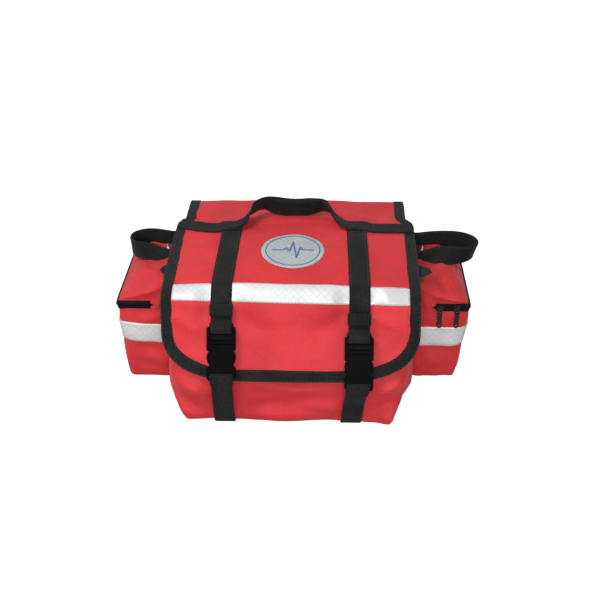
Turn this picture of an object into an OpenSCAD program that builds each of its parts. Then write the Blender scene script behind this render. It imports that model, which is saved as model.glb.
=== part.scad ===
// First responder trauma bag: padded main compartment under a buckled flap, a front pocket
// and two zipped end pockets. Millimetres, +Z up, front towards -Y.
// The origin is on the floor, at the middle of the bag's width.

/* [Main compartment] */
// Outside width of the main compartment
main_w = 300; // [280:5:320]
// Y of the main compartment's front wall
main_front_y = -82; // [-84:1:-80]
// Y of the main compartment's back wall, where the flap is sewn on
main_back_y = 118; // [114:1:122]
// Thickness of a padded wall
wall_t = 4; // [3:0.5:5]
// Drop from the flap's top surface to the mouth of the main compartment
mouth_drop = 12; // [11:0.5:14]

/* [Flap] */
// Height of the flap's crown
crown_z = 176; // [174:1:180]
// Y of the crown
crown_y = 40; // [30:1:50]
// Radius of the crown's curve
crown_r = 780; // [700:10:900]
// Half width of the flap, binding included
flap_half = 153.5; // [150:0.5:155]
// Half width of the flap behind the handle webbing
flap_back_half = 144; // [140:0.5:146]
// Thickness of the flap's fabric and lining
flap_t = 3; // [2:0.5:3]
// Y of the fold between the flap's top and its front
fold_y = -106; // [-108:1:-104]
// Lean of the flap's front from the vertical, in degrees
front_lean = 24.5; // [22:0.5:26]
// Length of the flap's front, from fold to lower edge
front_len = 111; // [108:1:112]
// Radius of the flap's lower corners
corner_r = 60; // [40:1:70]
// Visible width of the edge binding
binding_w = 10; // [8:0.5:12]
// Radius of the round badge
badge_r = 40; // [36:1:42]
// Y of the badge's centre
badge_y = -30; // [-34:1:-26]

/* [Webbing and buckles] */
// Width of all the webbing
web_w = 25; // [24:0.5:25]
// Thickness of the webbing
web_t = 1.8; // [1.4:0.1:1.8]
// X of the two closing straps
strap_x = 81; // [76:0.5:86]
// Distance from the fold to the mouth of the left buckle's socket
mouth_s = 63.2; // [62:0.2:64]
// How much lower the right buckle is set on its strap
right_drop = 10; // [6:1:12]
// Travel of a buckle's plug along its strap
plug_travel = 32; // [28:1:34]

/* [End pockets] */
// Y of an end pocket's front face
pocket_front_y = -60; // [-64:1:-56]
// Y of an end pocket's back face
pocket_back_y = 80; // [76:1:84]
// Z of an end pocket's bottom
pocket_z = 6; // [4:1:10]
// Z of an end pocket's top
pocket_top_z = 140; // [136:1:141]
// X of the outer face at the bottom
pocket_foot_x = 200; // [196:1:204]
// X of the outer face at the zip
pocket_x = 217; // [212:1:220]
// Z of the lower edge of the zip tape
zip_z = 107.5; // [104:0.5:110]
// X where the lid hinges on the fixed part of the top
lid_hinge_x = 176.5; // [174:0.5:180]
// Fabric thickness of the pockets
cloth_t = 3; // [2:0.5:3]

/* [Reflective tape] */
// Width of the reflective tape
tape_w = 25; // [20:1:26]
// Z of the tape's lower edge on the end pockets
tape_z = 51; // [44:1:56]

/* [Handles] */
// Y of the carry handle's webbing
handle_y = 30; // [26:1:34]
// Half of the free span of the carry handle
handle_half = 64; // [60:1:66]
// Height of the carry handle's arch
handle_rise = 24; // [22:1:28]
// Backward lean of the carry handle at rest, in degrees
handle_lean = 90; // [80:1:90]
// Z of the lower edge of the grab handles
grab_z = 143; // [142.5:0.5:145]
// Y of the middle of the grab handles and D rings
grab_y = 25; // [20:1:30]
// Upward tilt of the D rings at rest, in degrees
ring_tilt = 45; // [40:1:50]

/* [Hidden] */

RED = "firebrick";
BLACK = [0.09, 0.09, 0.10];
SILVER = "gainsboro";

gap = 0.1;                               // air between two layers that are sewn together
half_w = main_w / 2;
fold_z = z_top(fold_y) - flap_t / 2;     // the fold's axis runs in the middle of the cloth
hinge_z = z_top(main_back_y) - flap_t / 2;
seam_r = 3;                              // rolled seam that the flap hinges on
roll_r = 2;                              // rolled cloth at the flap's fold
step_y = handle_y + web_w / 2 + 0.6;     // where the flap steps in to its back half width
fold_gap = 3.4;                          // from the fold's axis to the edge of the flap's front
outer_n = flap_t / 2;                    // height of the front's outer face over its axis plane
strap_pivot = [-149.5, 4];               // Y and Z of the seam that holds a lower strap
zip_h = 12;                              // height of the zip tape that shows
zip_mid = zip_z + zip_h / 2;
slider_in = lid_hinge_x + 5;             // distance of the two sliders from the middle
slider_out = lid_hinge_x + 26;
pocket_top_y = -99;                      // Y of the front pocket's zip
pocket_roof = 136;                       // Z of the front pocket's top

// Height of the flap's top surface at y
function z_top(y) = crown_z - pow(y - crown_y, 2) / (2 * crown_r);

function steps(a, b, n) = [for (i = [0:n]) a + (b - a) * i / n];

// Outline in Y and Z of a layer that lies from lo to hi over the flap's top surface
function crown_layer(y0, y1, lo, hi, n = 12) = concat(
    [for (y = steps(y0, y1, n)) [y, z_top(y) + hi]],
    [for (y = steps(y1, y0, n)) [y, z_top(y) + lo]]);

// Y and Z of a point s below the fold and n out from the flap's front
function front_point(s, n) = [
    fold_y - s * sin(front_lean) - n * cos(front_lean),
    fold_z - s * cos(front_lean) + n * sin(front_lean)];

// Distance from the fold to the mouth of a buckle's socket
function mouth(side) = mouth_s + (side > 0 ? right_drop : 0);

function unit(v) = v / norm(v);
function left_normal(a, b) = let (d = unit(b - a)) [-d[1], d[0]];

// Direction in which corner i of a path moves when the path is offset by 1
function miter(p, i, closed = false) =
    let (
        n = len(p),
        before = closed ? left_normal(p[(i + n - 1) % n], p[i])
                        : left_normal(p[max(i - 1, 0)], p[max(i - 1, 0) + 1]),
        after = closed ? left_normal(p[i], p[(i + 1) % n])
                       : left_normal(p[min(i, n - 2)], p[min(i, n - 2) + 1]),
        m = unit(before + after))
    m / (m * before);

// Outline of a band of thickness t along an open path
function ribbon(p, t) = concat(
    [for (i = [0:len(p) - 1]) p[i] + miter(p, i) * t / 2],
    [for (i = [len(p) - 1:-1:0]) p[i] - miter(p, i) * t / 2]);

// A closed anticlockwise outline moved inwards by t
function inset(p, t) = [for (i = [0:len(p) - 1]) p[i] + miter(p, i, true) * t];

// X of the end pocket's outer face at height z
function pocket_side(z) =
    pocket_foot_x + (pocket_x - pocket_foot_x) * (z - pocket_z) / (zip_z - pocket_z);

// Extrudes an outline drawn in Y and Z from x0 to x1
module across(x0, x1) {
    translate([x0, 0, 0]) rotate([90, 0, 90]) linear_extrude(x1 - x0) children();
}

// Extrudes an outline drawn in X and Z from y0 to y1
module along_y(y0, y1) {
    translate([0, y1, 0]) rotate([90, 0, 0]) linear_extrude(y1 - y0) children();
}

// Puts children on the flap's front: x across, y up the slope, z outwards, with the fold at y = 0
module on_front() {
    translate([0, fold_y, fold_z]) rotate([90 - front_lean, 0, 0]) children();
}

// The same place, moved down to the mouth of a buckle's socket
module at_buckle(side) {
    on_front() translate([side * strap_x, -mouth(side), 0]) children();
}

module mirrored(side) {
    if (side < 0) mirror([1, 0, 0]) children();
    else children();
}

// ---------------------------------------------------------------- main compartment

module main_wall_across(y0, top) {
    color(RED) translate([-half_w, y0, wall_t]) cube([main_w, wall_t, top - wall_t]);
}

module main_side_panel(side) {
    front = main_front_y + wall_t;
    back = main_back_y - wall_t;
    color(RED) mirrored(side) across(half_w - wall_t, half_w)
        polygon(concat([[front, wall_t], [back, wall_t]],
                       [for (y = steps(back, front, 10)) [y, z_top(y) - mouth_drop]]));
}

module main_bottom_panel() {
    color(RED) translate([-half_w, main_front_y, 0])
        cube([main_w, main_back_y - main_front_y, wall_t]);
}

// Tape that finishes the mouth, along both sides and the front
module mouth_binding() {
    tape_t = 3;
    low = -mouth_drop + gap;
    color(BLACK) {
        for (side = [-1, 1]) mirrored(side)
            across(half_w - wall_t - 1, half_w + 1)
                polygon(crown_layer(main_front_y + 1, main_back_y - wall_t - 1, low, low + tape_t));
        across(-half_w - 1, half_w + 1)
            polygon(crown_layer(main_front_y - 1, main_front_y + wall_t + 1, low, low + tape_t, 2));
    }
}

module base_board() {
    edge = wall_t + 2;
    color("dimgray") translate([-half_w + edge, main_front_y + edge, wall_t + gap])
        cube([main_w - 2 * edge, main_back_y - main_front_y - 2 * edge, 3]);
}

// Padded dividers that stick to the lining
divider_y = 22;
divider_t = 6;
divider_z = wall_t + 3.5;
divider_h = 120;

module long_divider() {
    color("dimgray") translate([-half_w + wall_t + 1, divider_y, divider_z])
        cube([main_w - 2 * wall_t - 2, divider_t, divider_h]);
}

module cross_divider() {
    front = main_front_y + wall_t + 1;
    color("dimgray") translate([-divider_t / 2, front, divider_z])
        cube([divider_t, divider_y - 1 - front, divider_h]);
}

// Rolled seam at the top of the back wall
module hinge_seam() {
    color(BLACK) translate([-flap_back_half + 2, main_back_y, hinge_z])
        rotate([0, 90, 0]) cylinder(r = seam_r, h = 2 * flap_back_half - 4, $fn = 48);
}

// ---------------------------------------------------------------- front pocket

// Side outline in Y and Z, anticlockwise
front_side = [
    [main_front_y - 0.5, pocket_roof], front_point(28, -6), front_point(68, -6.5),
    [-146, 58], [-148.2, 36], [-145, 8], [-139, 1.5], [main_front_y - 0.5, 1.5]];
// Front outline in X and Z, anticlockwise
front_face = [
    [-128, 1.5], [128, 1.5], [140, 9], [half_w - 4, 30], [half_w - 4, pocket_roof + 1],
    [4 - half_w, pocket_roof + 1], [4 - half_w, 30], [-140, 9]];

module front_pocket_block(t) {
    intersection() {
        across(-half_w, half_w) polygon(inset(front_side, t));
        along_y(-160, main_front_y) polygon(inset(front_face, t));
    }
}

module front_pocket_shell() {
    zip_l = 236;
    color(RED) difference() {
        front_pocket_block(0);
        front_pocket_block(cloth_t);
        translate([-zip_l / 2, pocket_top_y - 4, pocket_roof - 10]) cube([zip_l, 8, 20]);
    }
}

module front_zip_tape() {
    color(BLACK) translate([-117.5, pocket_top_y - 3.6, pocket_roof - 2.4]) cube([235, 7.2, 2]);
}

// ---------------------------------------------------------------- zip sliders and pulls

// Slider on the XY plane, runs along X, z outwards
module slider() {
    color(BLACK) {
        difference() {
            linear_extrude(3.4) union() {
                circle(r = 4.2, $fn = 32);
                translate([-3.2, -5.2]) square([6.4, 6]);
            }
            translate([-10, -0.5, 1.2]) cube([20, 1, 1]);
        }
        // bail that holds the pull
        difference() {
            translate([-1.2, -3.2, 3.3]) cube([2.4, 6.2, 2.9]);
            translate([-2, 0, 4.7]) rotate([0, 90, 0]) cylinder(r = 0.9, h = 4, $fn = 24);
        }
    }
}

pull_pivot = 4.7; // height of the pull's axis over the slider's base

// Pull that hangs towards -Y from the slider's bail
module pull() {
    arm = 9;
    color(BLACK) {
        translate([-2.7, 0, pull_pivot]) rotate([0, 90, 0]) cylinder(r = 0.7, h = 5.4, $fn = 24);
        for (side = [-1, 1])
            translate([side * 2.3 - 0.7, -arm, pull_pivot - 0.7]) cube([1.4, arm, 1.4]);
        translate([0, 0, pull_pivot - 0.8]) linear_extrude(1.6) difference() {
            union() {
                translate([-2.9, -21]) square([5.8, 21 - arm + 2.5]);
                translate([0, -23.4]) circle(r = 3.4, $fn = 32);
            }
            translate([0, -23.6]) circle(r = 1.9, $fn = 24);
        }
    }
}

// Places a slider or pull on an end pocket: on the front face of the right pocket,
// and on the back face of the left one
module on_zip(side, x) {
    if (side > 0)
        translate([x, pocket_front_y - 0.3, zip_mid]) rotate([90, 0, 0]) children();
    else
        translate([-x, pocket_back_y + 0.3, zip_mid]) rotate([90, 0, 180]) children();
}

module on_front_zip() {
    translate([100, pocket_top_y, pocket_roof + 0.2]) rotate([0, 0, 90]) rotate([0, 0, 180]) children();
}

// ---------------------------------------------------------------- end pockets

module pocket_shell(side) {
    inner = half_w + 0.5;
    fixed = lid_hinge_x - 2;
    outline = [[inner, pocket_z], [pocket_foot_x, pocket_z], [pocket_side(zip_z), zip_z],
               [fixed, zip_z], [fixed, pocket_top_z], [inner, pocket_top_z]];
    hollow = [[inner + cloth_t, pocket_z + cloth_t], [pocket_foot_x - cloth_t, pocket_z + cloth_t],
              [pocket_side(zip_z) - cloth_t, zip_z + 1], [fixed + 1, zip_z + 1],
              [fixed + 1, pocket_top_z - cloth_t], [inner + cloth_t, pocket_top_z - cloth_t]];
    color(RED) mirrored(side) difference() {
        along_y(pocket_front_y, pocket_back_y) polygon(outline);
        along_y(pocket_front_y + cloth_t, pocket_back_y - cloth_t) polygon(hollow);
    }
}

module pocket_lid(side) {
    low = zip_z + zip_h + 0.5;
    inner = lid_hinge_x + 0.8;
    outline = [[inner, low], [pocket_x + 1, low], [pocket_x, pocket_top_z - 5],
               [pocket_x - 4, pocket_top_z], [inner, pocket_top_z]];
    color(RED) mirrored(side) {
        difference() {
            along_y(pocket_front_y, pocket_back_y) polygon(outline);
            along_y(pocket_front_y + cloth_t, pocket_back_y - cloth_t)
                polygon([[inner - 9, low - 9], [pocket_x + 1 - cloth_t, low - 9],
                         [pocket_x - cloth_t, pocket_top_z - 6], [pocket_x - 5, pocket_top_z - cloth_t],
                         [inner - 9, pocket_top_z - cloth_t]]);
        }
        translate([lid_hinge_x, pocket_back_y, pocket_top_z - 1.5]) rotate([90, 0, 0])
            cylinder(r = 1.5, h = pocket_back_y - pocket_front_y, $fn = 32);
    }
}

module zip_tape(side) {
    low = zip_z + gap;
    high = zip_z + zip_h;
    tape_t = 1.2;
    color(BLACK) mirrored(side) difference() {
        along_y(pocket_front_y, pocket_back_y)
            polygon([[lid_hinge_x, low], [pocket_side(low), low],
                     [pocket_side(high), high], [lid_hinge_x, high]]);
        along_y(pocket_front_y + tape_t, pocket_back_y - tape_t)
            polygon([[lid_hinge_x - 5, low - 5], [pocket_side(low - 5) - tape_t, low - 5],
                     [pocket_side(high + 5) - tape_t, high + 5], [lid_hinge_x - 5, high + 5]]);
    }
}

module pocket_reflector(side) {
    top = tape_z + tape_w;
    inner = half_w + 0.7;
    color(SILVER) mirrored(side) difference() {
        along_y(pocket_front_y - 0.5, pocket_back_y + 0.5)
            polygon([[inner, tape_z], [pocket_side(tape_z) + 0.5, tape_z],
                     [pocket_side(top) + 0.5, top], [inner, top]]);
        along_y(pocket_front_y - gap, pocket_back_y + gap)
            polygon([[inner - 5, tape_z - 5], [pocket_side(tape_z - 5) + gap, tape_z - 5],
                     [pocket_side(top + 5) + gap, top + 5], [inner - 5, top + 5]]);
    }
}

// ---------------------------------------------------------------- flap

panel_inset = binding_w / 2;

module flap_top_panel() {
    color(RED) {
        across(panel_inset - flap_half, flap_half - panel_inset)
            polygon(crown_layer(fold_y + 1, step_y, -flap_t, 0));
        across(panel_inset - flap_back_half, flap_back_half - panel_inset)
            polygon(crown_layer(step_y - 1, main_back_y - seam_r - 0.6, -flap_t, 0, 6));
        translate([panel_inset - flap_half, fold_y, fold_z]) rotate([0, 90, 0])
            cylinder(r = roll_r, h = 2 * (flap_half - panel_inset), $fn = 48);
    }
}

// Folded tape over one side edge of the flap's top, from y0 to y1
module edge_tape(half, y0, y1, n) {
    for (side = [-1, 1]) mirrored(side) {
        across(half - binding_w, half) polygon(crown_layer(y0, y1, gap, 1.1, n));
        across(half - panel_inset + gap, half) polygon(crown_layer(y0, y1, -flap_t - 1, 1, n));
    }
}

module flap_top_binding() {
    color(BLACK) {
        edge_tape(flap_half, fold_y + fold_gap, step_y, 12);
        edge_tape(flap_back_half, step_y, main_back_y - seam_r - 0.6, 6);
    }
}

// Outline of the flap's front: straight at the fold, with round lower corners
module tongue(half, length, r) {
    translate([-half, r - length]) square([2 * half, length - r - fold_gap]);
    translate([r - half, -length]) square([2 * (half - r), r + 1]);
    intersection() {
        for (side = [-1, 1]) translate([side * (half - r), r - length]) circle(r = r, $fn = 96);
        translate([-half, -length]) square([2 * half, r + 1]);
    }
}

module flap_front_panel() {
    color(RED) on_front() translate([0, 0, -outer_n]) linear_extrude(flap_t)
        tongue(flap_half - panel_inset, front_len - panel_inset, corner_r - panel_inset);
}

module flap_front_binding() {
    color(BLACK) on_front() {
        translate([0, 0, outer_n + gap]) linear_extrude(1) difference() {
            tongue(flap_half, front_len, corner_r);
            tongue(flap_half - binding_w, front_len - binding_w, corner_r - binding_w);
        }
        translate([0, 0, -outer_n - 1]) linear_extrude(flap_t + 1.5) difference() {
            tongue(flap_half, front_len, corner_r);
            tongue(flap_half - panel_inset + gap, front_len - panel_inset + gap,
                   corner_r - panel_inset + gap);
        }
    }
}

module flap_reflector() {
    half = flap_half - binding_w - gap;
    color(SILVER) on_front() translate([-half, -fold_gap - tape_w, outer_n + gap])
        cube([2 * half, tape_w, 0.4]);
}

// Generic round badge
module emblem_patch() {
    color(SILVER) intersection() {
        across(-badge_r, badge_r)
            polygon(crown_layer(badge_y - badge_r, badge_y + badge_r, gap, 1));
        translate([0, badge_y, crown_z - 20]) cylinder(r = badge_r, h = 40, $fn = 96);
    }
}

// Flat ends of the handle webbing, sewn across the flap
module handle_anchors() {
    color(BLACK) for (side = [-1, 1]) mirrored(side)
        across(handle_half + 2, flap_half - binding_w - gap)
            polygon(crown_layer(handle_y - web_w / 2, handle_y + web_w / 2, gap, web_t, 4));
}

// Free arch of the carry handle. It turns on its back edge, where it folds at its two ends,
// and its webbing narrows there.
module carry_handle() {
    rise = handle_rise;
    arch = [[-handle_half, 0], [8 - handle_half, 9], [18 - handle_half, rise - 4],
            [28 - handle_half, rise], [handle_half - 28, rise], [handle_half - 18, rise - 4],
            [handle_half - 8, 9], [handle_half, 0]];
    fold_r = 2;
    reach = web_w - 3;
    color(BLACK) translate([0, handle_y + 10, z_top(handle_y + 10) + 4.2])
        rotate([-handle_lean, 0, 0]) {
            intersection() {
                along_y(-reach, fold_r) polygon(ribbon(arch, 2.4));
                across(-handle_half, handle_half)
                    polygon([[-fold_r, -3], [fold_r, -3], [fold_r, rise + 3],
                             [-reach, rise + 3], [-reach, rise - 10]]);
            }
            for (side = [-1, 1]) translate([side * handle_half - 2, 0, 0])
                rotate([0, 90, 0]) cylinder(r = fold_r, h = 4, $fn = 32);
        }
}

module strap_top(side) {
    color(BLACK) translate([side * strap_x, 0, 0]) across(-web_w / 2, web_w / 2)
        polygon(crown_layer(fold_y + fold_gap, handle_y - web_w / 2 - 0.5, gap, web_t));
}

// Strap over the reflective tape, down to the buckle
module strap_front(side) {
    base = outer_n + 0.6;
    color(BLACK) on_front()
        translate([side * strap_x - web_w / 2, 10 - mouth(side), base])
            cube([web_w, mouth(side) - 10 - fold_gap, web_t]);
}

// Free end of the strap, threaded over the plug's bar and back up
module strap_tail(side) {
    tail = [[44, 5.4], [24, 5.4], [20.8, 12.4], [15.4, 12.4], [14.1, 11], [14.1, 5.2]];
    color(BLACK) at_buckle(side) across(-web_w / 2, web_w / 2) polygon(ribbon(tail, 1.6));
}

// ---------------------------------------------------------------- buckles

buckle_half = 17;
socket_low = 4.2;
socket_high = 12.2;

// Frame of the plug, with two slots that the strap threads through
module buckle_plug(side) {
    corner = 3;
    color(BLACK) at_buckle(side) {
        translate([0, 0, 5.2]) linear_extrude(6) difference() {
            union() {
                translate([-buckle_half, 0.3]) square([2 * buckle_half, 16.6]);
                translate([corner - buckle_half, 0.3]) square([2 * (buckle_half - corner), 19.6]);
                for (e = [-1, 1]) translate([e * (buckle_half - corner), 16.9])
                    circle(r = corner, $fn = 32);
            }
            translate([-13.6, 4.5]) square([27.2, 4.3]);
            translate([-13.6, 11.6]) square([27.2, 5]);
        }
        translate([-buckle_half, 0.3, 4.4]) cube([2 * buckle_half, 3.4, 7.6]);
    }
}

// Sprung arms and guide of the plug, inside the socket
module buckle_arms(side) {
    arm = [[8.5, 0.2], [12.5, 0.2], [13, -8], [16.4, -11], [17.2, -16.5], [16.2, -21.5],
           [13.8, -24.6], [11.5, -24], [12.2, -12], [10, -4]];
    color(BLACK) at_buckle(side) translate([0, 0, 6.3]) linear_extrude(3.8) {
        for (e = [0, 1]) mirror([e, 0]) polygon([for (i = [len(arm) - 1:-1:0]) arm[i]]);
        translate([-2, -20]) square([4, 20.2]);
    }
}

// Socket that the arms snap into, with windows at its sides and a bar for the lower strap
module buckle_socket(side) {
    half = [[17, -0.3], [17, -7], [13.2, -9.5], [13.2, -22], [14.2, -25.5], [17, -29.5],
            [17, -40], [14.8, -43.5]];
    outline = concat([for (i = [len(half) - 1:-1:0]) half[i]], [for (p = half) [-p[0], p[1]]]);
    color(BLACK) at_buckle(side) difference() {
        union() {
            translate([0, 0, socket_low]) linear_extrude(socket_high - socket_low) polygon(outline);
            translate([-buckle_half, -3, socket_low]) cube([2 * buckle_half, 2.7, 8.6]);
        }
        translate([-14.4, -31, 5.9]) cube([28.8, 40, 4.6]);
        translate([-13.2, -38.5, 0]) cube([26.4, 3, 20]);
    }
}

// Strap from the seam under the front pocket to the socket's bar
module lower_strap(side) {
    path = [strap_pivot, front_point(mouth(side) + 44.8, 13.8),
            front_point(mouth(side) + 37, 13.8), front_point(mouth(side) + 37, 6)];
    color(BLACK) translate([side * strap_x, 0, 0]) {
        across(-web_w / 2, web_w / 2) polygon(ribbon(path, web_t));
        translate([-web_w / 2, strap_pivot[0], strap_pivot[1]]) rotate([0, 90, 0])
            cylinder(r = 1.6, h = web_w, $fn = 32);
    }
}

// ---------------------------------------------------------------- grab handles

// Loop of webbing on edge, which narrows to the place where it folds at the side wall
module grab_handle(side, reach) {
    width = 34;
    height = web_w - 1;
    r = width / 2;
    fold_x = half_w + 3;
    full_x = half_w + 20;
    fold_r = 2;
    mid_z = grab_z + height / 2;
    bend = half_w + reach - r;
    loop = concat([[fold_x, -r]], [for (a = steps(-90, 90, 12)) [bend + r * cos(a), r * sin(a)]],
                  [[fold_x, r]]);
    color(BLACK) mirrored(side) translate([0, grab_y, 0]) {
        intersection() {
            translate([0, 0, grab_z]) linear_extrude(height) polygon(ribbon(loop, 2));
            along_y(-width, width)
                polygon([[fold_x, mid_z - fold_r], [full_x, grab_z], [half_w + 2 * reach, grab_z],
                         [half_w + 2 * reach, grab_z + height], [full_x, grab_z + height],
                         [fold_x, mid_z + fold_r]]);
        }
        for (y = [-r, r]) translate([fold_x, y + 1.5, mid_z]) rotate([90, 0, 0])
            cylinder(r = fold_r, h = 3, $fn = 32);
    }
}

ring_wire = 1.5;
ring_r = 10.5;                           // from the middle of the bar to the middle of the wire
ring_x = half_w + 7;
ring_z = grab_z + 3;

// Loop of webbing that holds a D ring to the side wall
module ring_tab(side) {
    tab_w = 16;
    color(BLACK) mirrored(side) translate([0, grab_y + tab_w / 2, 0]) rotate([90, 0, 0])
        linear_extrude(tab_w) difference() {
            union() {
                translate([half_w + 0.3, ring_z - 1]) square([ring_x - half_w, 2]);
                translate([ring_x, ring_z]) circle(r = 3.3, $fn = 48);
            }
            translate([ring_x, ring_z]) circle(r = ring_wire + 0.2, $fn = 48);
        }
}

module d_ring(side) {
    bar = ring_r + ring_wire;
    color("silver") mirrored(side) translate([ring_x, grab_y, ring_z]) rotate([0, -ring_tilt, 0]) {
        rotate([0, 0, -90]) rotate_extrude(angle = 180, $fn = 64)
            translate([ring_r, 0]) circle(r = ring_wire, $fn = 32);
        translate([0, bar, 0]) rotate([90, 0, 0]) cylinder(r = ring_wire, h = 2 * bar, $fn = 32);
    }
}

// ---------------------------------------------------------------- nodes

main_wall_across(main_front_y, z_top(main_front_y) - mouth_drop);  // main_front_panel
main_wall_across(main_back_y - wall_t, hinge_z - seam_r - 0.3);  // main_back_panel
main_side_panel(-1);  // main_left_panel
main_side_panel(1);  // main_right_panel
main_bottom_panel();
mouth_binding();
base_board();
long_divider();
cross_divider();
hinge_seam();

front_pocket_shell();
front_zip_tape();
on_front_zip() slider();  // front_zip_slider
on_front_zip() pull();  // front_zip_pull

pocket_shell(-1);  // left_pocket_shell
pocket_lid(-1);  // left_pocket_lid
zip_tape(-1);  // left_zip_tape
pocket_reflector(-1);  // left_pocket_reflector
on_zip(-1, slider_in) slider();  // left_inner_slider
on_zip(-1, slider_out) slider();  // left_outer_slider
on_zip(-1, slider_in) pull();  // left_inner_pull
on_zip(-1, slider_out) pull();  // left_outer_pull

pocket_shell(1);  // right_pocket_shell
pocket_lid(1);  // right_pocket_lid
zip_tape(1);  // right_zip_tape
pocket_reflector(1);  // right_pocket_reflector
on_zip(1, slider_in) slider();  // right_inner_slider
on_zip(1, slider_out) slider();  // right_outer_slider
on_zip(1, slider_in) pull();  // right_inner_pull
on_zip(1, slider_out) pull();  // right_outer_pull

flap_top_panel();
flap_top_binding();
flap_front_panel();
flap_front_binding();
flap_reflector();
emblem_patch();
handle_anchors();
carry_handle();

strap_top(-1);  // left_strap_top
strap_front(-1);  // left_strap_front
strap_tail(-1);  // left_strap_tail
buckle_plug(-1);  // left_buckle_plug
buckle_arms(-1);  // left_buckle_arms
buckle_socket(-1);  // left_buckle_socket
lower_strap(-1);  // left_lower_strap

strap_top(1);  // right_strap_top
strap_front(1);  // right_strap_front
strap_tail(1);  // right_strap_tail
buckle_plug(1);  // right_buckle_plug
buckle_arms(1);  // right_buckle_arms
buckle_socket(1);  // right_buckle_socket
lower_strap(1);  // right_lower_strap

grab_handle(-1, 62);  // left_grab_handle
ring_tab(-1);  // left_ring_tab
d_ring(-1);  // left_d_ring
grab_handle(1, 82);  // right_grab_handle
ring_tab(1);  // right_ring_tab
d_ring(1);  // right_d_ring
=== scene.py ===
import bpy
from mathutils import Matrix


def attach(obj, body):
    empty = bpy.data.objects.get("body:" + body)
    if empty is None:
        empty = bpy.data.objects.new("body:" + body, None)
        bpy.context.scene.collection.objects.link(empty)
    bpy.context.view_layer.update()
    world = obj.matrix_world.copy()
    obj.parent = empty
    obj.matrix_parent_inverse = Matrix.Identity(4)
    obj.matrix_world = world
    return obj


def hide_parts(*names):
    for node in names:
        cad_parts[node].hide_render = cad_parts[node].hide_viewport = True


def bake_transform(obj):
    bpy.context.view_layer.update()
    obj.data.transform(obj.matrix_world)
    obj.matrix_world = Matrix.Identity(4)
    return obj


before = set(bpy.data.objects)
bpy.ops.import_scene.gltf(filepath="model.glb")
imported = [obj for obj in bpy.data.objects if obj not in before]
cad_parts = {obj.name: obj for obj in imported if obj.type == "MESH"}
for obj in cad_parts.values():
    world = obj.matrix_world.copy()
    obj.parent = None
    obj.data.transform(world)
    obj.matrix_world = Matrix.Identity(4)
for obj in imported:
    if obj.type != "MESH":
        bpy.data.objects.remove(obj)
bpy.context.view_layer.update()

import math

import bpy
import bmesh
import numpy as np
from mathutils import Matrix, Vector, noise
from mathutils.bvhtree import BVHTree

MM = 0.001
COLLECTION = bpy.context.scene.collection
SIDE_NAME = {-1: "left", 1: "right"}

# ------------------------------------------------------------------ dimensions, millimetres
HALF_W = 150.0                        # main compartment
FRONT_Y, BACK_Y = -82.0, 118.0
FLAP_HALF, FLAP_BACK_HALF = 153.5, 144.0
BINDING_W = 15.0
CORNER_R, CORNER_RX, CORNER_P = 60.0, 100.0, 2.35     # the flap's lower corners are long, flat curves
HANDLE_Y = 30.0
SPLIT_Y = 36.0                        # the flap's binding is joined here, under the handle webbing
WEB_W, WEB_T = 25.0, 1.8
TAPE_W = 24.5                         # reflective tape on the flap
STRAP_X = 81.0
MOUTH = {-1: 63.2, 1: 73.2}           # fold to buckle mouth
LEAN = math.radians(24.5)             # of the flap's drop
FOLD_Y = -106.0
PK_FRONT, PK_BACK, PK_TOP = -60.0, 80.0, 140.0        # end pockets
LID_X = 176.5
ZIP_MID = 113.6
GRAB_Y = 25.0
BADGE_R, BADGE_Y = 39.0, -30.0
BOARD_MID_Y = 18.5
THREAD_R, SEAM_R = 0.36, 0.42         # radius of a stitch


def clamp(t):
    return min(1.0, max(0.0, t))


def ease(t):
    """Smooth step, for t from 0 to 1"""
    return t * t * (3 - 2 * t)


def top_z(y):
    return 176.0 - (y - 40.0) ** 2 / 1560.0


FOLD_Z = top_z(FOLD_Y) - 1.5


def front_point(s, n):
    """Y and Z, s below the fold and n out from the straight drop"""
    return (FOLD_Y - s * math.sin(LEAN) - n * math.cos(LEAN),
            FOLD_Z - s * math.cos(LEAN) + n * math.sin(LEAN))


def rumple(x, y, z, size, seed=0.0):
    return noise.noise(Vector((x / size + seed, y / size - seed * 1.7, z / size + seed * 0.6)))


# ------------------------------------------------------------------ materials

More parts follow.
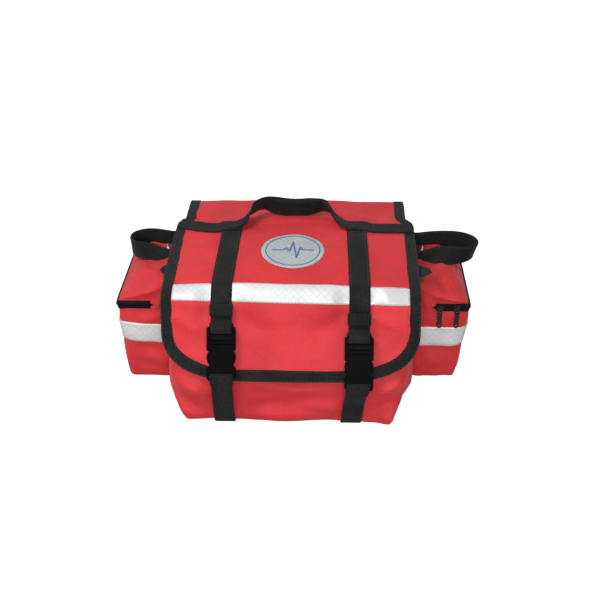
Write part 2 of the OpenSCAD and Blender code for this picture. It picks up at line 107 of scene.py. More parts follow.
class Look:
    """A material in the making; a value given to it is a number, a colour or another node's socket"""

    INPUTS = {"color": "Base Color", "rough": "Roughness", "normal": "Normal", "spec": "Specular IOR Level",
              "metal": "Metallic", "sheen": "Sheen Weight", "sheen_rough": "Sheen Roughness",
              "tint": "Sheen Tint", "glow": "Emission Color", "glow_strength": "Emission Strength"}

    def __init__(self, name):
        self.mat = bpy.data.materials.new(name)
        self.mat.use_nodes = True
        self.tree = self.mat.node_tree

    def put(self, socket, value):
        if isinstance(value, bpy.types.NodeSocket):
            self.tree.links.new(value, socket)
        else:
            socket.default_value = value

    def node(self, kind, **values):
        n = self.tree.nodes.new("ShaderNode" + kind)
        for name, value in values.items():
            self.put(n.inputs[name], value)
        return n

    def math(self, op, *values):
        n = self.node("Math")
        n.operation = op
        for socket, value in zip(n.inputs, values):
            self.put(socket, value)
        return n.outputs[0]

    def add(self, a, b):
        return self.math("ADD", a, b)

    def mul(self, a, b):
        return self.math("MULTIPLY", a, b)

    def coords(self, kind="Object"):
        return self.node("TexCoord").outputs[kind]

    def uv(self):
        return self.node("SeparateXYZ", Vector=self.coords("UV")).outputs[:2]

    def noise(self, vector, scale, detail=3.0, rough=0.55):
        return self.node("TexNoise", Vector=vector, Scale=scale, Detail=detail, Roughness=rough).outputs["Fac"]

    def wave(self, coordinate, period):
        """Sine of a coordinate, with the period in metres"""
        return self.math("SINE", self.mul(coordinate, 2 * math.pi / period))

    def ramp(self, fac, *stops):
        n = self.node("ValToRGB")
        self.put(n.inputs[0], fac)
        elements = n.color_ramp.elements
        while len(elements) < len(stops):
            elements.new(0.5)
        for element, (position, color) in zip(elements, stops):
            element.position = position
            element.color = (*color, 1.0)
        return n.outputs[0]

    def bump(self, height, strength, distance, **normal):
        return self.node("Bump", Height=height, Strength=strength, Distance=distance, **normal).outputs["Normal"]

    def done(self, **values):
        bsdf = self.tree.nodes["Principled BSDF"]
        for name, value in values.items():
            self.put(bsdf.inputs[self.INPUTS[name]], value)
        return self.mat


def shade(color, factor, lift=0.0):
    return tuple(c * factor + lift for c in color)


def cloth_material(name, light, dark, period=0.0012, weave=0.35, crease=0.6, rough=0.62, sheen=0.25,
                   spec=0.35, tint=(1, 1, 1, 1)):
    """Plain-woven coated cloth: weave, small creases, mottled colour and rubbed high spots"""
    k = Look(name)
    obj = k.coords()
    u, v = k.uv()
    yarn = k.mul(k.wave(u, period), k.wave(v, period))
    large, small = k.noise(obj, 14.0, 4.0), k.noise(obj, 700.0, 2.0)
    tone = k.add(k.mul(large, 0.45), k.add(k.mul(small, 0.34), k.mul(yarn, 0.05)))
    drawn = k.node("Mapping", Vector=obj, Rotation=(0.5, 0.7, 0.5), Scale=(1.0, 2.6, 1.5)).outputs["Vector"]
    folds = k.bump(k.noise(drawn, 9.0, 2.0, 0.4), crease, 0.0085)
    creases = k.bump(k.noise(obj, 38.0, 5.0, 0.6), crease, 0.0020, Normal=folds)
    return k.done(color=k.ramp(tone, (0.23, dark), (0.54, light)),
                  rough=k.add(k.mul(small, 0.16), rough - 0.08),
                  normal=k.bump(yarn, weave, 0.00018, Normal=creases),
                  sheen=sheen, sheen_rough=0.45, spec=spec, tint=tint)


def webbing_material(name, base, rib=0.0021, sheen=0.05):
    """Woven webbing: chevron ribs along its length, rubbed lighter on the high spots"""
    k = Look(name)
    across, along = k.uv()
    zigzag = k.math("ABSOLUTE", k.wave(across, 0.0125))
    ribs = k.wave(k.add(along, k.mul(zigzag, 0.0016)), rib)
    pattern = k.add(k.mul(ribs, 0.6), k.mul(k.wave(across, 0.0016), 0.4))
    fuzz, worn = k.noise(k.coords(), 420.0, 2.0), k.noise(k.coords(), 30.0, 4.0)
    tone = k.add(k.mul(pattern, 0.16), k.add(k.mul(fuzz, 0.45), k.mul(worn, 0.45)))
    return k.done(color=k.ramp(tone, (0.25, shade(base, 0.55)), (0.5, base), (0.72, shade(base, 2.1, 0.006))),
                  normal=k.bump(fuzz, 0.25, 0.0005, Normal=k.bump(pattern, 0.55, 0.0004)),
                  rough=0.7, sheen=sheen, sheen_rough=0.5, spec=0.09)


def reflective_material(name, low, high):
    """Sewn reflective cloth: pale grey with pressed diamonds"""
    k = Look(name)
    u, v = k.uv()
    slanting = [k.math("ABSOLUTE", k.wave(k.math(op, u, v), 0.018)) for op in ("ADD", "SUBTRACT")]
    lines = k.math("MINIMUM", *slanting)
    fine = k.mul(k.wave(u, 0.0011), k.wave(v, 0.0011))
    dirt = k.noise(k.coords(), 24.0, 5.0)
    tone = k.math("SUBTRACT", k.add(k.mul(dirt, 0.6), k.mul(fine, 0.06)),
                  k.mul(k.math("LESS_THAN", lines, 0.16), 0.20))
    return k.done(color=k.ramp(tone, (0.06, low), (0.42, high)),
                  normal=k.bump(dirt, 0.4, 0.0015, Normal=k.bump(lines, 0.25, 0.0003)),
                  rough=0.42, metal=0.08, spec=0.6)


def plastic_material(name, base, rough=0.42):
    k = Look(name)
    obj = k.coords()
    scuff = k.noise(obj, 90.0, 6.0, 0.7)
    return k.done(color=k.ramp(scuff, (0.5, base), (0.85, shade(base, 1.5, 0.0015))),
                  rough=k.add(k.mul(scuff, 0.3), rough - 0.15),
                  normal=k.bump(k.noise(obj, 1500.0, 2.0), 0.25, 0.0002), spec=0.02)


def metal_material(name, base, rough, metal):
    k = Look(name)
    scratch = k.noise(k.coords(), 300.0, 6.0, 0.75)
    return k.done(color=k.ramp(scratch, (0.3, shade(base, 0.6)), (0.6, base)),
                  rough=k.add(k.mul(scratch, 0.35), rough - 0.12),
                  normal=k.bump(scratch, 0.12, 0.0002), metal=metal)


def thread_material(name, base):
    k = Look(name)
    ply = k.noise(k.coords(), 1800.0, 2.0)
    return k.done(color=k.ramp(ply, (0.3, shade(base, 0.6)), (0.7, base)),
                  normal=k.bump(ply, 0.5, 0.0003), rough=0.6, sheen=0.2, spec=0.3)


RED = cloth_material("red_cloth", (0.62, 0.032, 0.038), (0.41, 0.013, 0.019), weave=0.22, sheen=0.12,
                     spec=0.28, crease=0.8, tint=(1, 0.6, 0.6, 1))
LINING = cloth_material("grey_lining", (0.085, 0.085, 0.09), (0.045, 0.045, 0.05), period=0.0009, weave=0.2,
                        crease=0.5, rough=0.75)
PAD = cloth_material("divider_cloth", (0.16, 0.16, 0.17), (0.09, 0.09, 0.10), period=0.0016, weave=0.5,
                     crease=0.3, rough=0.9, sheen=0.5)
BOARD = cloth_material("board_cover", (0.06, 0.06, 0.065), (0.03, 0.03, 0.035), period=0.001, weave=0.3,
                       crease=0.15, rough=0.6)
WEB = webbing_material("black_webbing", (0.0105, 0.0102, 0.0105))
BINDING = webbing_material("black_binding", (0.0115, 0.011, 0.0115), rib=0.0012, sheen=0.06)
ZIPTAPE = webbing_material("zip_tape", (0.008, 0.008, 0.0085), rib=0.0010, sheen=0.03)
COIL = plastic_material("zip_coil", (0.006, 0.006, 0.0065), 0.35)
SILVER = reflective_material("reflective_cloth", (0.47, 0.48, 0.49), (0.635, 0.64, 0.64))
PLASTIC = plastic_material("buckle_plastic", (0.002, 0.002, 0.0022))
STEEL = metal_material("ring_steel", (0.75, 0.75, 0.77), 0.22, 1.0)
BLACK_METAL = metal_material("zip_metal", (0.03, 0.03, 0.032), 0.35, 0.7)
THREAD_RED = thread_material("thread_red", (0.62, 0.03, 0.04))
THREAD_BLACK = thread_material("thread_black", (0.014, 0.014, 0.015))
THREAD_GREY = thread_material("thread_grey", (0.55, 0.56, 0.58))
BLUE = thread_material("badge_blue", (0.05, 0.16, 0.34))
BADGE = reflective_material("badge_silver", (0.24, 0.28, 0.29), (0.46, 0.50, 0.50))


# ------------------------------------------------------------------ mesh helpers

def unit(v):
    n = np.linalg.norm(v)
    return v / n if n > 1e-9 else v


def tangents(p):
    return np.array([unit(v) for v in np.gradient(p, axis=0)])


def lengths(p):
    """Distance along a path, at each of its points"""
    return np.r_[0, np.cumsum(np.linalg.norm(np.diff(p, axis=0), axis=1))]


def normals_about(path, axis):
    """Normals of a path that bends in the plane across the axis"""
    return np.array([unit(np.cross(axis, t)) for t in tangents(path)])


def spline(pts, step=3.0):
    """Catmull-Rom through the points, resampled at about the given step"""
    p = np.array(pts, float)
    q = np.vstack([2 * p[0] - p[1], p, 2 * p[-1] - p[-2]])
    out = []
    for i in range(1, len(q) - 2):
        a, b, c, d = q[i - 1], q[i], q[i + 1], q[i + 2]
        n = max(2, int(np.linalg.norm(c - b) / (step * 0.5)))
        for k in range(n):
            t = k / n
            out.append(0.5 * (2 * b + (c - a) * t + (2 * a - 5 * b + 4 * c - d) * t * t
                              + (3 * b - a - 3 * c + d) * t ** 3))
    out.append(q[-2])
    out = np.array(out)
    d = lengths(out)
    n = max(2, int(round(d[-1] / step)))
    s = np.linspace(0, d[-1], n + 1)
    return np.array([[np.interp(v, d, out[:, k]) for k in range(out.shape[1])] for v in s])


def oval(rx, ry, count):
    return [(rx * math.cos(t), ry * math.sin(t)) for t in np.linspace(0, 2 * math.pi, count, endpoint=False)]


def band(width, thick):
    """Section of flat webbing with round edges, as (across, normal) pairs"""
    r = thick / 2
    flat = width / 2 - r
    pts = []
    for sign, angles in ((1, np.linspace(-90, 90, 5)), (-1, np.linspace(90, 270, 5))):
        pts += [(sign * flat + r * math.cos(a), r * math.sin(a)) for a in map(math.radians, angles)]
        pts += [(flat * f, sign * r) for f in (0.5 * sign, 0.0, -0.5 * sign)]
    return pts


class Build:
    """Collects millimetre geometry with UVs and material slots, and makes one object of it"""

    def __init__(self):
        self.verts, self.faces, self.uvs, self.index = [], [], [], []

    def face(self, ids, uvs, mat=0):
        self.faces.append(ids)
        self.uvs.append(uvs)
        self.index.append(mat)

    def grid(self, pts, uv, mat=0, close_v=False, flip=False):
        """pts[i][j] and uv[i][j]; close_v joins the last column to the first"""
        rows, cols = len(pts), len(pts[0])
        base = len(self.verts)
        for r in pts:
            self.verts.extend([tuple(p) for p in r])
        for i in range(rows - 1):
            for j in range(cols if close_v else cols - 1):
                k = (j + 1) % cols
                f = [base + i * cols + j, base + (i + 1) * cols + j, base + (i + 1) * cols + k, base + i * cols + k]
                t = [uv[i][j], uv[i + 1][j], uv[i + 1][j + 1], uv[i][j + 1]]
                if flip:
                    f.reverse()
                    t.reverse()
                self.face(f, t, mat)
        return base

    def cap(self, first, count, mat=0, flip=False):
        ids = list(range(first, first + count))
        if flip:
            ids.reverse()
        self.face(ids, [(self.verts[i][0] * MM, self.verts[i][1] * MM) for i in ids], mat)

    def tube(self, rings, uv, mat=0, end_mat=None):
        """Closed solid from rings of points, with a cap at both ends"""
        n = len(rings[0])
        base = self.grid(rings, uv, mat, close_v=True)
        self.cap(base, n, mat)
        self.cap(base + (len(rings) - 1) * n, n, mat if end_mat is None else end_mat, flip=True)

    def fan(self, middle, first, count, uvs=None, flip=False):
        """Closes a ring of points to its middle"""
        c = len(self.verts)
        self.verts.append(tuple(middle))
        for j in range(count):
            ids = [first + j + 1, first + j] if flip else [first + j, first + j + 1]
            self.face([c] + ids, [(0, 0), uvs[j], uvs[j + 1]] if uvs else [(0, 0)] * 3)

    def skin(self, top, bottom, uv, under=0, rim=0.0):
        """Thin closed sheet from two grids of points"""
        a0 = self.grid(top, uv)
        a1 = self.grid(bottom, uv, under, flip=True)
        n, m = len(top), len(top[0])
        ring = list(range(m)) + [i * m + m - 1 for i in range(1, n)] + \
            [(n - 1) * m + j for j in range(m - 2, -1, -1)] + [i * m for i in range(n - 2, 0, -1)]
        for p, q in zip(ring, ring[1:] + ring[:1]):
            self.face([a0 + p, a0 + q, a1 + q, a1 + p], [(0, 0), (rim, 0), (rim, rim), (0, rim)])

    def sweep(self, path, normal, section, mat=0):
        """Sweeps a section (or one section per point) along a path; normal points out of the surface"""
        path = np.array(path, float)
        normal = np.broadcast_to(np.array(normal, float), path.shape)
        many = section if isinstance(section[0], list) else [section] * len(path)
        pts, uv = [], []
        for p, t, n, s, sec in zip(path, tangents(path), normal, lengths(path), many):
            across = unit(np.cross(t, n))
            out = unit(np.cross(across, t))
            pts.append([p + across * a + out * h for a, h in sec])
            uv.append([(a * MM, s * MM) for a, h in sec + sec[:1]])
        self.tube(pts, uv, mat)

    def stitch(self, path, normal, mat=1, length=3.2, gap=1.6, r=THREAD_R, lift=0.15):
        """A row of thread stitches lying on a surface along the path"""
        path = np.array(path, float)
        normal = np.broadcast_to(np.array(normal, float), path.shape)
        d = lengths(path)

        def at(s, arr):
            return np.array([np.interp(s, d, arr[:, k]) for k in range(3)])

        s = gap
        while s + length < d[-1]:
            a, c = at(s, path), at(s + length, path)
            n = unit(at(s + length / 2, normal))
            side = unit(np.cross(unit(c - a), n))
            rings = []
            for f, k in ((0.0, 0.25), (0.22, 1.0), (0.78, 1.0), (1.0, 0.25)):
                p = a + (c - a) * f + n * (lift - (0.35 if k < 0.5 else 0.0))
                rings.append([p + side * (k * x) + n * (k * y) for x, y in oval(r, r, 6)])
            self.tube(rings, [[(0, 0)] * 7] * 4, mat)
            s += length + gap

    def make(self, name, mats, smooth=True):
        me = bpy.data.meshes.new(name)
        me.from_pydata([(x * MM, y * MM, z * MM) for x, y, z in self.verts], [], self.faces)
        layer = me.uv_layers.new(name="UVMap")
        layer.data.foreach_set("uv", [c for t in self.uvs for p in t for c in p])
        for m in mats:
            me.materials.append(m)
        me.polygons.foreach_set("material_index", self.index)
        me.polygons.foreach_set("use_smooth", [smooth] * len(me.polygons))
        me.validate()
        me.update()
        return link(name, me)

    def piece(self, name, mats, slot, *nodes, body=None, blend=None, weld=False):
        """The finished piece, with its faces turned outwards"""
        ob = self.make(name, mats)
        recalc(ob, weld)
        return place(ob, slot, *nodes, body=body, blend=blend)


def link(name, mesh):
    ob = bpy.data.objects.new(name, mesh)
    COLLECTION.objects.link(ob)
    return ob


def place(ob, slot, *nodes, body=None, blend=None):
    """Puts a piece on its body, or bakes it where it lies when it spans the joint of two bodies, in the place of CAD
    nodes
    """
    if blend:
        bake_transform(ob)
    else:
        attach(ob, body)
    if nodes:
        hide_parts(*nodes)
    return ob


def recalc(ob, weld=False):
    bm = bmesh.new()
    bm.from_mesh(ob.data)
    if weld:
        bmesh.ops.remove_doubles(bm, verts=bm.verts, dist=1e-6)
    bmesh.ops.recalc_face_normals(bm, faces=bm.faces)
    bm.to_mesh(ob.data)
    bm.free()


def new_object(bm, name):
    """Object from a bmesh, which is freed"""
    me = bpy.data.meshes.new(name)
    bm.to_mesh(me)
    bm.free()
    return link(name, me)


def solid(name, rings):
    """Closed solid in millimetres from rings of points"""
    bm = bmesh.new()
    rings = [[bm.verts.new([c * MM for c in p]) for p in ring] for ring in rings]
    bm.faces.new(rings[0])
    bm.faces.new(rings[-1][::-1])
    for p, q in zip(rings, rings[1:]):
        for i in range(len(p)):
            j = (i + 1) % len(p)
            bm.faces.new([p[i], q[i], q[j], p[j]])
    bmesh.ops.recalc_face_normals(bm, faces=bm.faces)
    return new_object(bm, name)


def prism(name, outline, y0, y1):
    """Closed solid from an outline in X and Z, along Y"""
    return solid(name, [[(x, y, z) for x, z in outline] for y in (y0, y1)])


def apply_modifiers(ob):
    deps = bpy.context.evaluated_depsgraph_get()
    me = bpy.data.meshes.new_from_object(ob.evaluated_get(deps))
    ob.modifiers.clear()
    old = ob.data
    ob.data = me
    bpy.data.meshes.remove(old)


def modify(ob, kind, **values):
    m = ob.modifiers.new(kind.lower(), kind)
    for name, value in values.items():
        setattr(m, name, value)
    return m


def shade_smooth(ob):
    for p in ob.data.polygons:
        p.use_smooth = True


def set_materials(ob, *mats):
    ob.data.materials.clear()
    for m in mats:
        ob.data.materials.append(m)


def box_uv(ob):
    """UVs in metres, seen along each face's main direction"""
    me = ob.data
    layer = me.uv_layers.get("UVMap") or me.uv_layers.new(name="UVMap")
    co = np.array([v.co[:] for v in me.vertices])
    out = np.empty((len(me.loops), 2))
    for p in me.polygons:
        n = [abs(c) for c in p.normal]
        keep = [(1, 2), (0, 2), (0, 1)][n.index(max(n))]
        for li in p.loop_indices:
            out[li] = co[me.loops[li].vertex_index][list(keep)]
    layer.data.foreach_set("uv", out.ravel())


SIM_FRAMES = 20


def simulate(ob, pinned, pressure, cap):
    """Swells a piece as cloth under pressure, with no point moving further than about cap"""
    start = np.array([v.co[:] for v in ob.data.vertices])
    group = ob.vertex_groups.new(name="pin")
    for v in ob.data.vertices:
        w = pinned(v.co / MM)
        if w > 0:
            group.add([v.index], w, "REPLACE")
    cloth = modify(ob, "CLOTH")
    for name, value in dict(quality=6, mass=0.25, tension_stiffness=12, compression_stiffness=8,
                            shear_stiffness=5, bending_stiffness=0.35, use_pressure=True,
                            uniform_pressure_force=pressure, vertex_group_mass="pin", pin_stiffness=1.0).items():
        setattr(cloth.settings, name, value)
    cloth.settings.effector_weights.gravity = 0.0
    cloth.point_cache.frame_start, cloth.point_cache.frame_end = 1, SIM_FRAMES
    scene = bpy.context.scene
    for f in range(1, SIM_FRAMES + 1):
        scene.frame_set(f)
    swollen = ob.evaluated_get(bpy.context.evaluated_depsgraph_get())
    move = np.array([v.co[:] for v in swollen.data.vertices]) - start
    ob.modifiers.clear()
    ob.vertex_groups.clear()
    size = np.linalg.norm(move, axis=1)
    limit = cap * MM
    k = np.where(size > 1e-9, limit * np.tanh(size / limit) / np.maximum(size, 1e-9), 0.0)
    ob.data.vertices.foreach_set("co", (start + move * k[:, None]).ravel())
    scene.frame_set(1)


def puff(ob, bevel, pinned, pressure, cap, voxel, smooth):
    """Rounds a closed solid, then swells it as sewn cloth; pinned(co_mm) gives a pin weight 0 to 1"""
    modify(ob, "BEVEL", width=bevel * MM, segments=3, limit_method="ANGLE")
    modify(ob, "REMESH", mode="VOXEL", voxel_size=voxel * MM)
    modify(ob, "SMOOTH", iterations=smooth, factor=0.5)
    apply_modifiers(ob)
    simulate(ob, pinned, pressure, cap)
    shade_smooth(ob)
    ob.data.update()


def offset_noise(ob, amount, size, seed, keep):
    """Small uneven swelling along the normals, in millimetres"""
    me = ob.data
    normals = [v.normal.copy() for v in me.vertices]
    for v, n in zip(me.vertices, normals):
        c = v.co / MM
        v.co += n * (amount * keep(c) * rumple(c.x, c.y, c.z, size, seed) * MM)
    me.update()


def subdivide(ob):
    modify(ob, "SUBSURF", levels=1, render_levels=1)
    apply_modifiers(ob)
    shade_smooth(ob)


def tree_of(ob):
    return BVHTree.FromObject(ob, bpy.context.evaluated_depsgraph_get())


# ------------------------------------------------------------------ the flap's surface

BACK_PROFILE = [(BACK_Y + 1.6, 161.0), (BACK_Y + 2.2, 168.0), (BACK_Y - 1.5, 173.6)]
TOP_PROFILE = [(y, top_z(y) + max(0.0, y - 60) * 0.05) for y in (105, 85, 62, 40, 10, -20, -50, -75, -92)]
FOLD_PROFILE = [(-103, 162.6), (-111.5, 158.3), (-118.2, 151.0), (-121.6, 142.5), (-123.6, 134.0)]
DROP_PROFILE = [front_point(s, n) for s, n in
                ((42, 2.3), (52, 1.6), (66, 1.6), (80, 2.2), (95, 2.4), (109, 1.8))]
profile = spline(BACK_PROFILE + TOP_PROFILE + FOLD_PROFILE + DROP_PROFILE, 1.5)
profile_len = lengths(profile)
profile_tan = tangents(profile)
S_END = float(profile_len[-1])


def s_at_y(y):
    """Arc length where the flap's top is at y"""
    return float(profile_len[max(int(np.argmax(profile[:, 0] < y)), 1)])


def s_at_drop(u):
    """Arc length level with the point u below the fold"""
    z = front_point(u, 2.0)[1]
    return float(profile_len[int(np.argmax((profile[:, 1] < z) & (profile[:, 0] < -90)))])


def crease(x, y, x0, y0, x1, y1, width, amp):
    """A soft fold along a line, fading at its ends"""
    dx, dy = x1 - x0, y1 - y0
    n2 = dx * dx + dy * dy
    t = ((x - x0) * dx + (y - y0) * dy) / n2
    if t <= 0 or t >= 1:
        return 0.0
    d = abs((x - x0) * dy - (y - y0) * dx) / math.sqrt(n2)
    return amp * math.sin(math.pi * t) * math.exp(-(d / width) ** 2)


def creases(x, y, lines):
    return sum(crease(x, y, *line) for line in lines)


def bell(d, width):
    return math.exp(-(d / width) ** 2)


S_FOLD = s_at_y(-108)
S_CORNER = S_END - CORNER_R           # where the lower corners begin
# creases: from x, s to x, s, width, height
FLAP_CREASES = [(-152, 26, -92, 60, 8, 2.6), (-150, 58, -98, 96, 9, -2.2), (-64, 24, -14, 64, 11, -1.9),
                (-60, 66, 4, 50, 9, 1.5), (62, 26, 8, 76, 12, -2.0), (94, 30, 152, 52, 8, 2.4),
                (96, 88, 150, 58, 10, -2.2), (60, 90, 12, 70, 9, 1.5), (-66, 103, 66, 98, 6, 1.5),
                (-40, 40, 48, 47, 13, 1.4), (-148, 8, -96, 20, 7, 1.4), (100, 12, 150, 24, 7, 1.4)]
TOP_CREASES = [(-148, 62, -90, 48, 9, 1.6), (-70, 96, -8, 112, 12, -1.4), (20, 150, 72, 120, 10, 1.3),
               (92, 70, 146, 92, 10, 1.6), (-62, 30, 50, 22, 9, 1.4), (-120, 150, -92, 190, 9, -1.3),
               (96, 170, 140, 200, 10, -1.4), (-56, 196, 40, 206, 8, 1.0), (-60, 84, 62, 80, 5, 1.5)]


def strap_press(x, t):
    """How far the straps press the cloth in at the fold, t past it"""
    near = clamp((34.0 - abs(abs(x) - STRAP_X)) / 17.0)
    return 4.3 * ease(near) * ease(clamp((t + 10.0) / 13.0)) * (1 - ease(clamp((t - 26.0) / 20.0)))


def flap_height(x, s):
    """How far the cloth stands from its plain profile at x and s"""
    t = s - S_FOLD
    side = min(1.0, abs(x) / 153.0)
    back = max(0.0, 1.0 - s / 120.0)
    drop = clamp(t / 30.0)
    edge = min(1.0, s / 25.0)
    dome = (2.2 + 1.8 * back - (5.4 - 1.0 * back) * side ** 2.4) * (1.0 - 0.8 * drop)
    hump = 2.2 * drop * bell(x, 45.0) * math.sin(math.pi * clamp(t / (S_END - S_FOLD)))
    ridge = 1.6 * drop * bell(abs(x) - 122.0, 16.0)
    folds = creases(x, t, FLAP_CREASES) if t > 0 else creases(x, s, TOP_CREASES)
    calm = 1.0 - 0.75 * bell(abs(x) - STRAP_X, 16.0) * drop
    wrinkle = 1.5 * rumple(x, s, 0, 62, 3.1) + 0.7 * rumple(x, s, 0, 26, 7.7)
    return dome * edge + (hump + ridge + 1.25 * folds * calm) + wrinkle * calm * edge - strap_press(x, t)


def flap_at(x, s, h=0.0):
    """Point h above the outer cloth, and the direction out of it"""
    y, z, ty, tz = (float(np.interp(s, profile_len, a)) for a in
                    (profile[:, 0], profile[:, 1], profile_tan[:, 0], profile_tan[:, 1]))
    n = unit(np.array([0.0, tz, -ty]))
    if n[2] < 0 and n[1] > 0:
        n = -n
    k = h + flap_height(x, s)
    return np.array([x, y + n[1] * k, z + n[2] * k]), n


def flap_line(path, h):
    """Points h above the flap's cloth along a path in (x, s), and their normals"""
    rows = [flap_at(x, s, h) for x, s in path]
    return np.array([p for p, n in rows]), np.array([n for p, n in rows])


def corner(inset, t):
    """Point on the free edge's lower corner, t from 0 at the side to 1 at the bottom"""
    a = t * math.pi / 2
    c, d = math.cos(a) ** (2 / CORNER_P), math.sin(a) ** (2 / CORNER_P)
    return FLAP_HALF - CORNER_RX + (CORNER_RX - inset) * c, S_CORNER + (CORNER_R - inset) * d


def half_at(s, inset):
    """Half width of the flap's front at s"""
    k = max(0.0, s - S_CORNER) / (CORNER_R - inset)
    if k <= 0:
        return FLAP_HALF - inset
    return FLAP_HALF - CORNER_RX + (CORNER_RX - inset) * max(0.0, 1.0 - min(1.0, k) ** CORNER_P) ** (1 / CORNER_P)


S_STEP0, S_STEP1 = s_at_y(62), s_at_y(44)    # the sides widen here, just behind the handle webbing


def rear_half(s):
    return FLAP_BACK_HALF + (FLAP_HALF - FLAP_BACK_HALF) * ease(clamp((s - S_STEP0) / (S_STEP1 - S_STEP0)))


def edge_path(inset, s_start, step=3.0):
    """Path around the flap's free edge in (x, s), set in by the given distance"""
    x = FLAP_HALF - inset
    pts = [(-x, s, 0.0) for s in np.arange(s_start, S_CORNER - step / 2, step)]
    pts += [(-cx, cs, 0.0) for cx, cs in (corner(inset, t) for t in np.linspace(0, 1, 90))]
    pts += [(v, S_END - inset, 0.0) for v in np.arange(-FLAP_HALF + CORNER_RX + step, -step / 2, step)]
    pts = [tuple(p) for p in spline(pts, step)[:, :2]]
    return pts + [(-a, c) for a, c in reversed(pts)]


# ------------------------------------------------------------------ the flap: cloth, binding, tape

HINGE = ("bag", "flap", (0, 0.121, 0.171), (0, 0.104, 0.173))
FOLD = ("flap", "flap_drop", (0, -0.101, 0.1635), (0, -0.122, 0.144))
TAPE_MID = s_at_y(-99) + TAPE_W / 2 - 1.0
S_JOIN = TAPE_MID - TAPE_W / 2 + 5.0         # the cloth is joined under the reflective tape
CLOTH_INSET, CLOTH_T = 4.5, 3.0
SEAM_INSET = BINDING_W + 1.8


def flap_cloth(rows, half_fn):
    b = Build()
    spans = [(s, np.linspace(-half_fn(s), half_fn(s), 61)) for s in rows]
    outer, inner = ([[flap_at(x, s, h)[0] for x in xs] for s, xs in spans] for h in (0.0, -CLOTH_T))
    b.skin(outer, inner, [[(x * MM, s * MM) for x in xs] for s, xs in spans], under=1, rim=MM)
    return b


rear_rows = list(np.linspace(0.0, 16, 9)) + list(np.linspace(18, S_JOIN, 64))
b = flap_cloth(rear_rows, lambda s: rear_half(s) - CLOTH_INSET)
for sx in (-1, 1):
    b.stitch(*flap_line([(sx * (rear_half(s) - SEAM_INSET), s) for s in rear_rows[9:]], 0.1), 2, r=SEAM_R)
b.piece("flap_rear_cloth", [RED, LINING, THREAD_RED], "red_fabric", blend=HINGE)

corner_rows = [S_CORNER + (CORNER_R - CLOTH_INSET) * math.sin(a) ** (2 / CORNER_P)
               for a in np.linspace(0.08, math.pi / 2, 20)]
b = flap_cloth(list(np.linspace(S_JOIN, S_CORNER, 34)) + corner_rows, lambda s: half_at(s, CLOTH_INSET))
b.stitch(*flap_line(edge_path(SEAM_INSET, S_JOIN + 2), 0.1), 2, r=SEAM_R)
b.piece("flap_front_cloth", [RED, LINING, THREAD_RED], "red_fabric", "flap_top_panel", "flap_front_panel",
        blend=FOLD)


def binding_strip(b, path, stitch_at):
    """Folded tape over an edge: path is (x, s) along the tape's middle"""
    wavy = [(x + 0.5 * rumple(x, s, 0, 24, 5), s) for x, s in path]
    b.sweep(*flap_line(wavy, -1.5), band(BINDING_W, 5.4))
    pts, nor = flap_line(path, 1.25)
    across = np.cross(tangents(pts), nor)
    for k in (-stitch_at, stitch_at):
        b.stitch(pts + across * k, nor)


S_SPLIT = s_at_y(SPLIT_Y)
b = Build()
for sx in (-1, 1):
    rows = list(np.linspace(1.0, 16, 8)) + list(np.linspace(19, S_SPLIT + 2, 34))
    binding_strip(b, [(sx * (rear_half(s) - BINDING_W / 2), s) for s in rows], 5.6)
b.piece("flap_rear_binding", [BINDING, THREAD_BLACK], "black_webbing", blend=HINGE)

b = Build()
binding_strip(b, edge_path(BINDING_W / 2, S_SPLIT - 2), 5.8)
b.piece("flap_front_binding_tape", [BINDING, THREAD_BLACK], "black_webbing", "flap_top_binding",
        "flap_front_binding", blend=FOLD)


def tape_s(x, offset):
    """Arc length on the reflective tape, which runs a little askew across the fold"""
    return TAPE_MID + offset + (2.6 * x / 150.0 + 0.9 * rumple(x, 3, 0, 90, 2))


b = Build()
half = FLAP_HALF - BINDING_W + 1.5
xs = np.linspace(-half, half, 96)
offs = np.linspace(-TAPE_W / 2, TAPE_W / 2, 13)
heights = [0.25] + [0.75] * 11 + [0.25]
top = [[flap_at(x, tape_s(x, o), h)[0] for o, h in zip(offs, heights)] for x in xs]
bottom = [[flap_at(x, tape_s(x, o), 0.05)[0] for o in offs] for x in xs]
b.skin(top, bottom, [[(x * MM, o * MM) for o in offs] for x in xs])
for o in (-TAPE_W / 2 + 1.6, TAPE_W / 2 - 1.6):
    b.stitch(*flap_line([(x, tape_s(x, o)) for x in np.linspace(-half + 2, half - 2, 120)], 0.85),
             r=0.33, length=2.6)
b.piece("flap_reflective_tape", [SILVER, THREAD_GREY], "reflective_tape", "flap_reflector", blend=FOLD)

# ------------------------------------------------------------------ straps over the flap


def strap_x(side, s):
    """The straps run slightly apart towards the fold"""
    return side * (79.0 + 2.5 * clamp((s - s_at_y(20)) / (S_FOLD - s_at_y(20))))


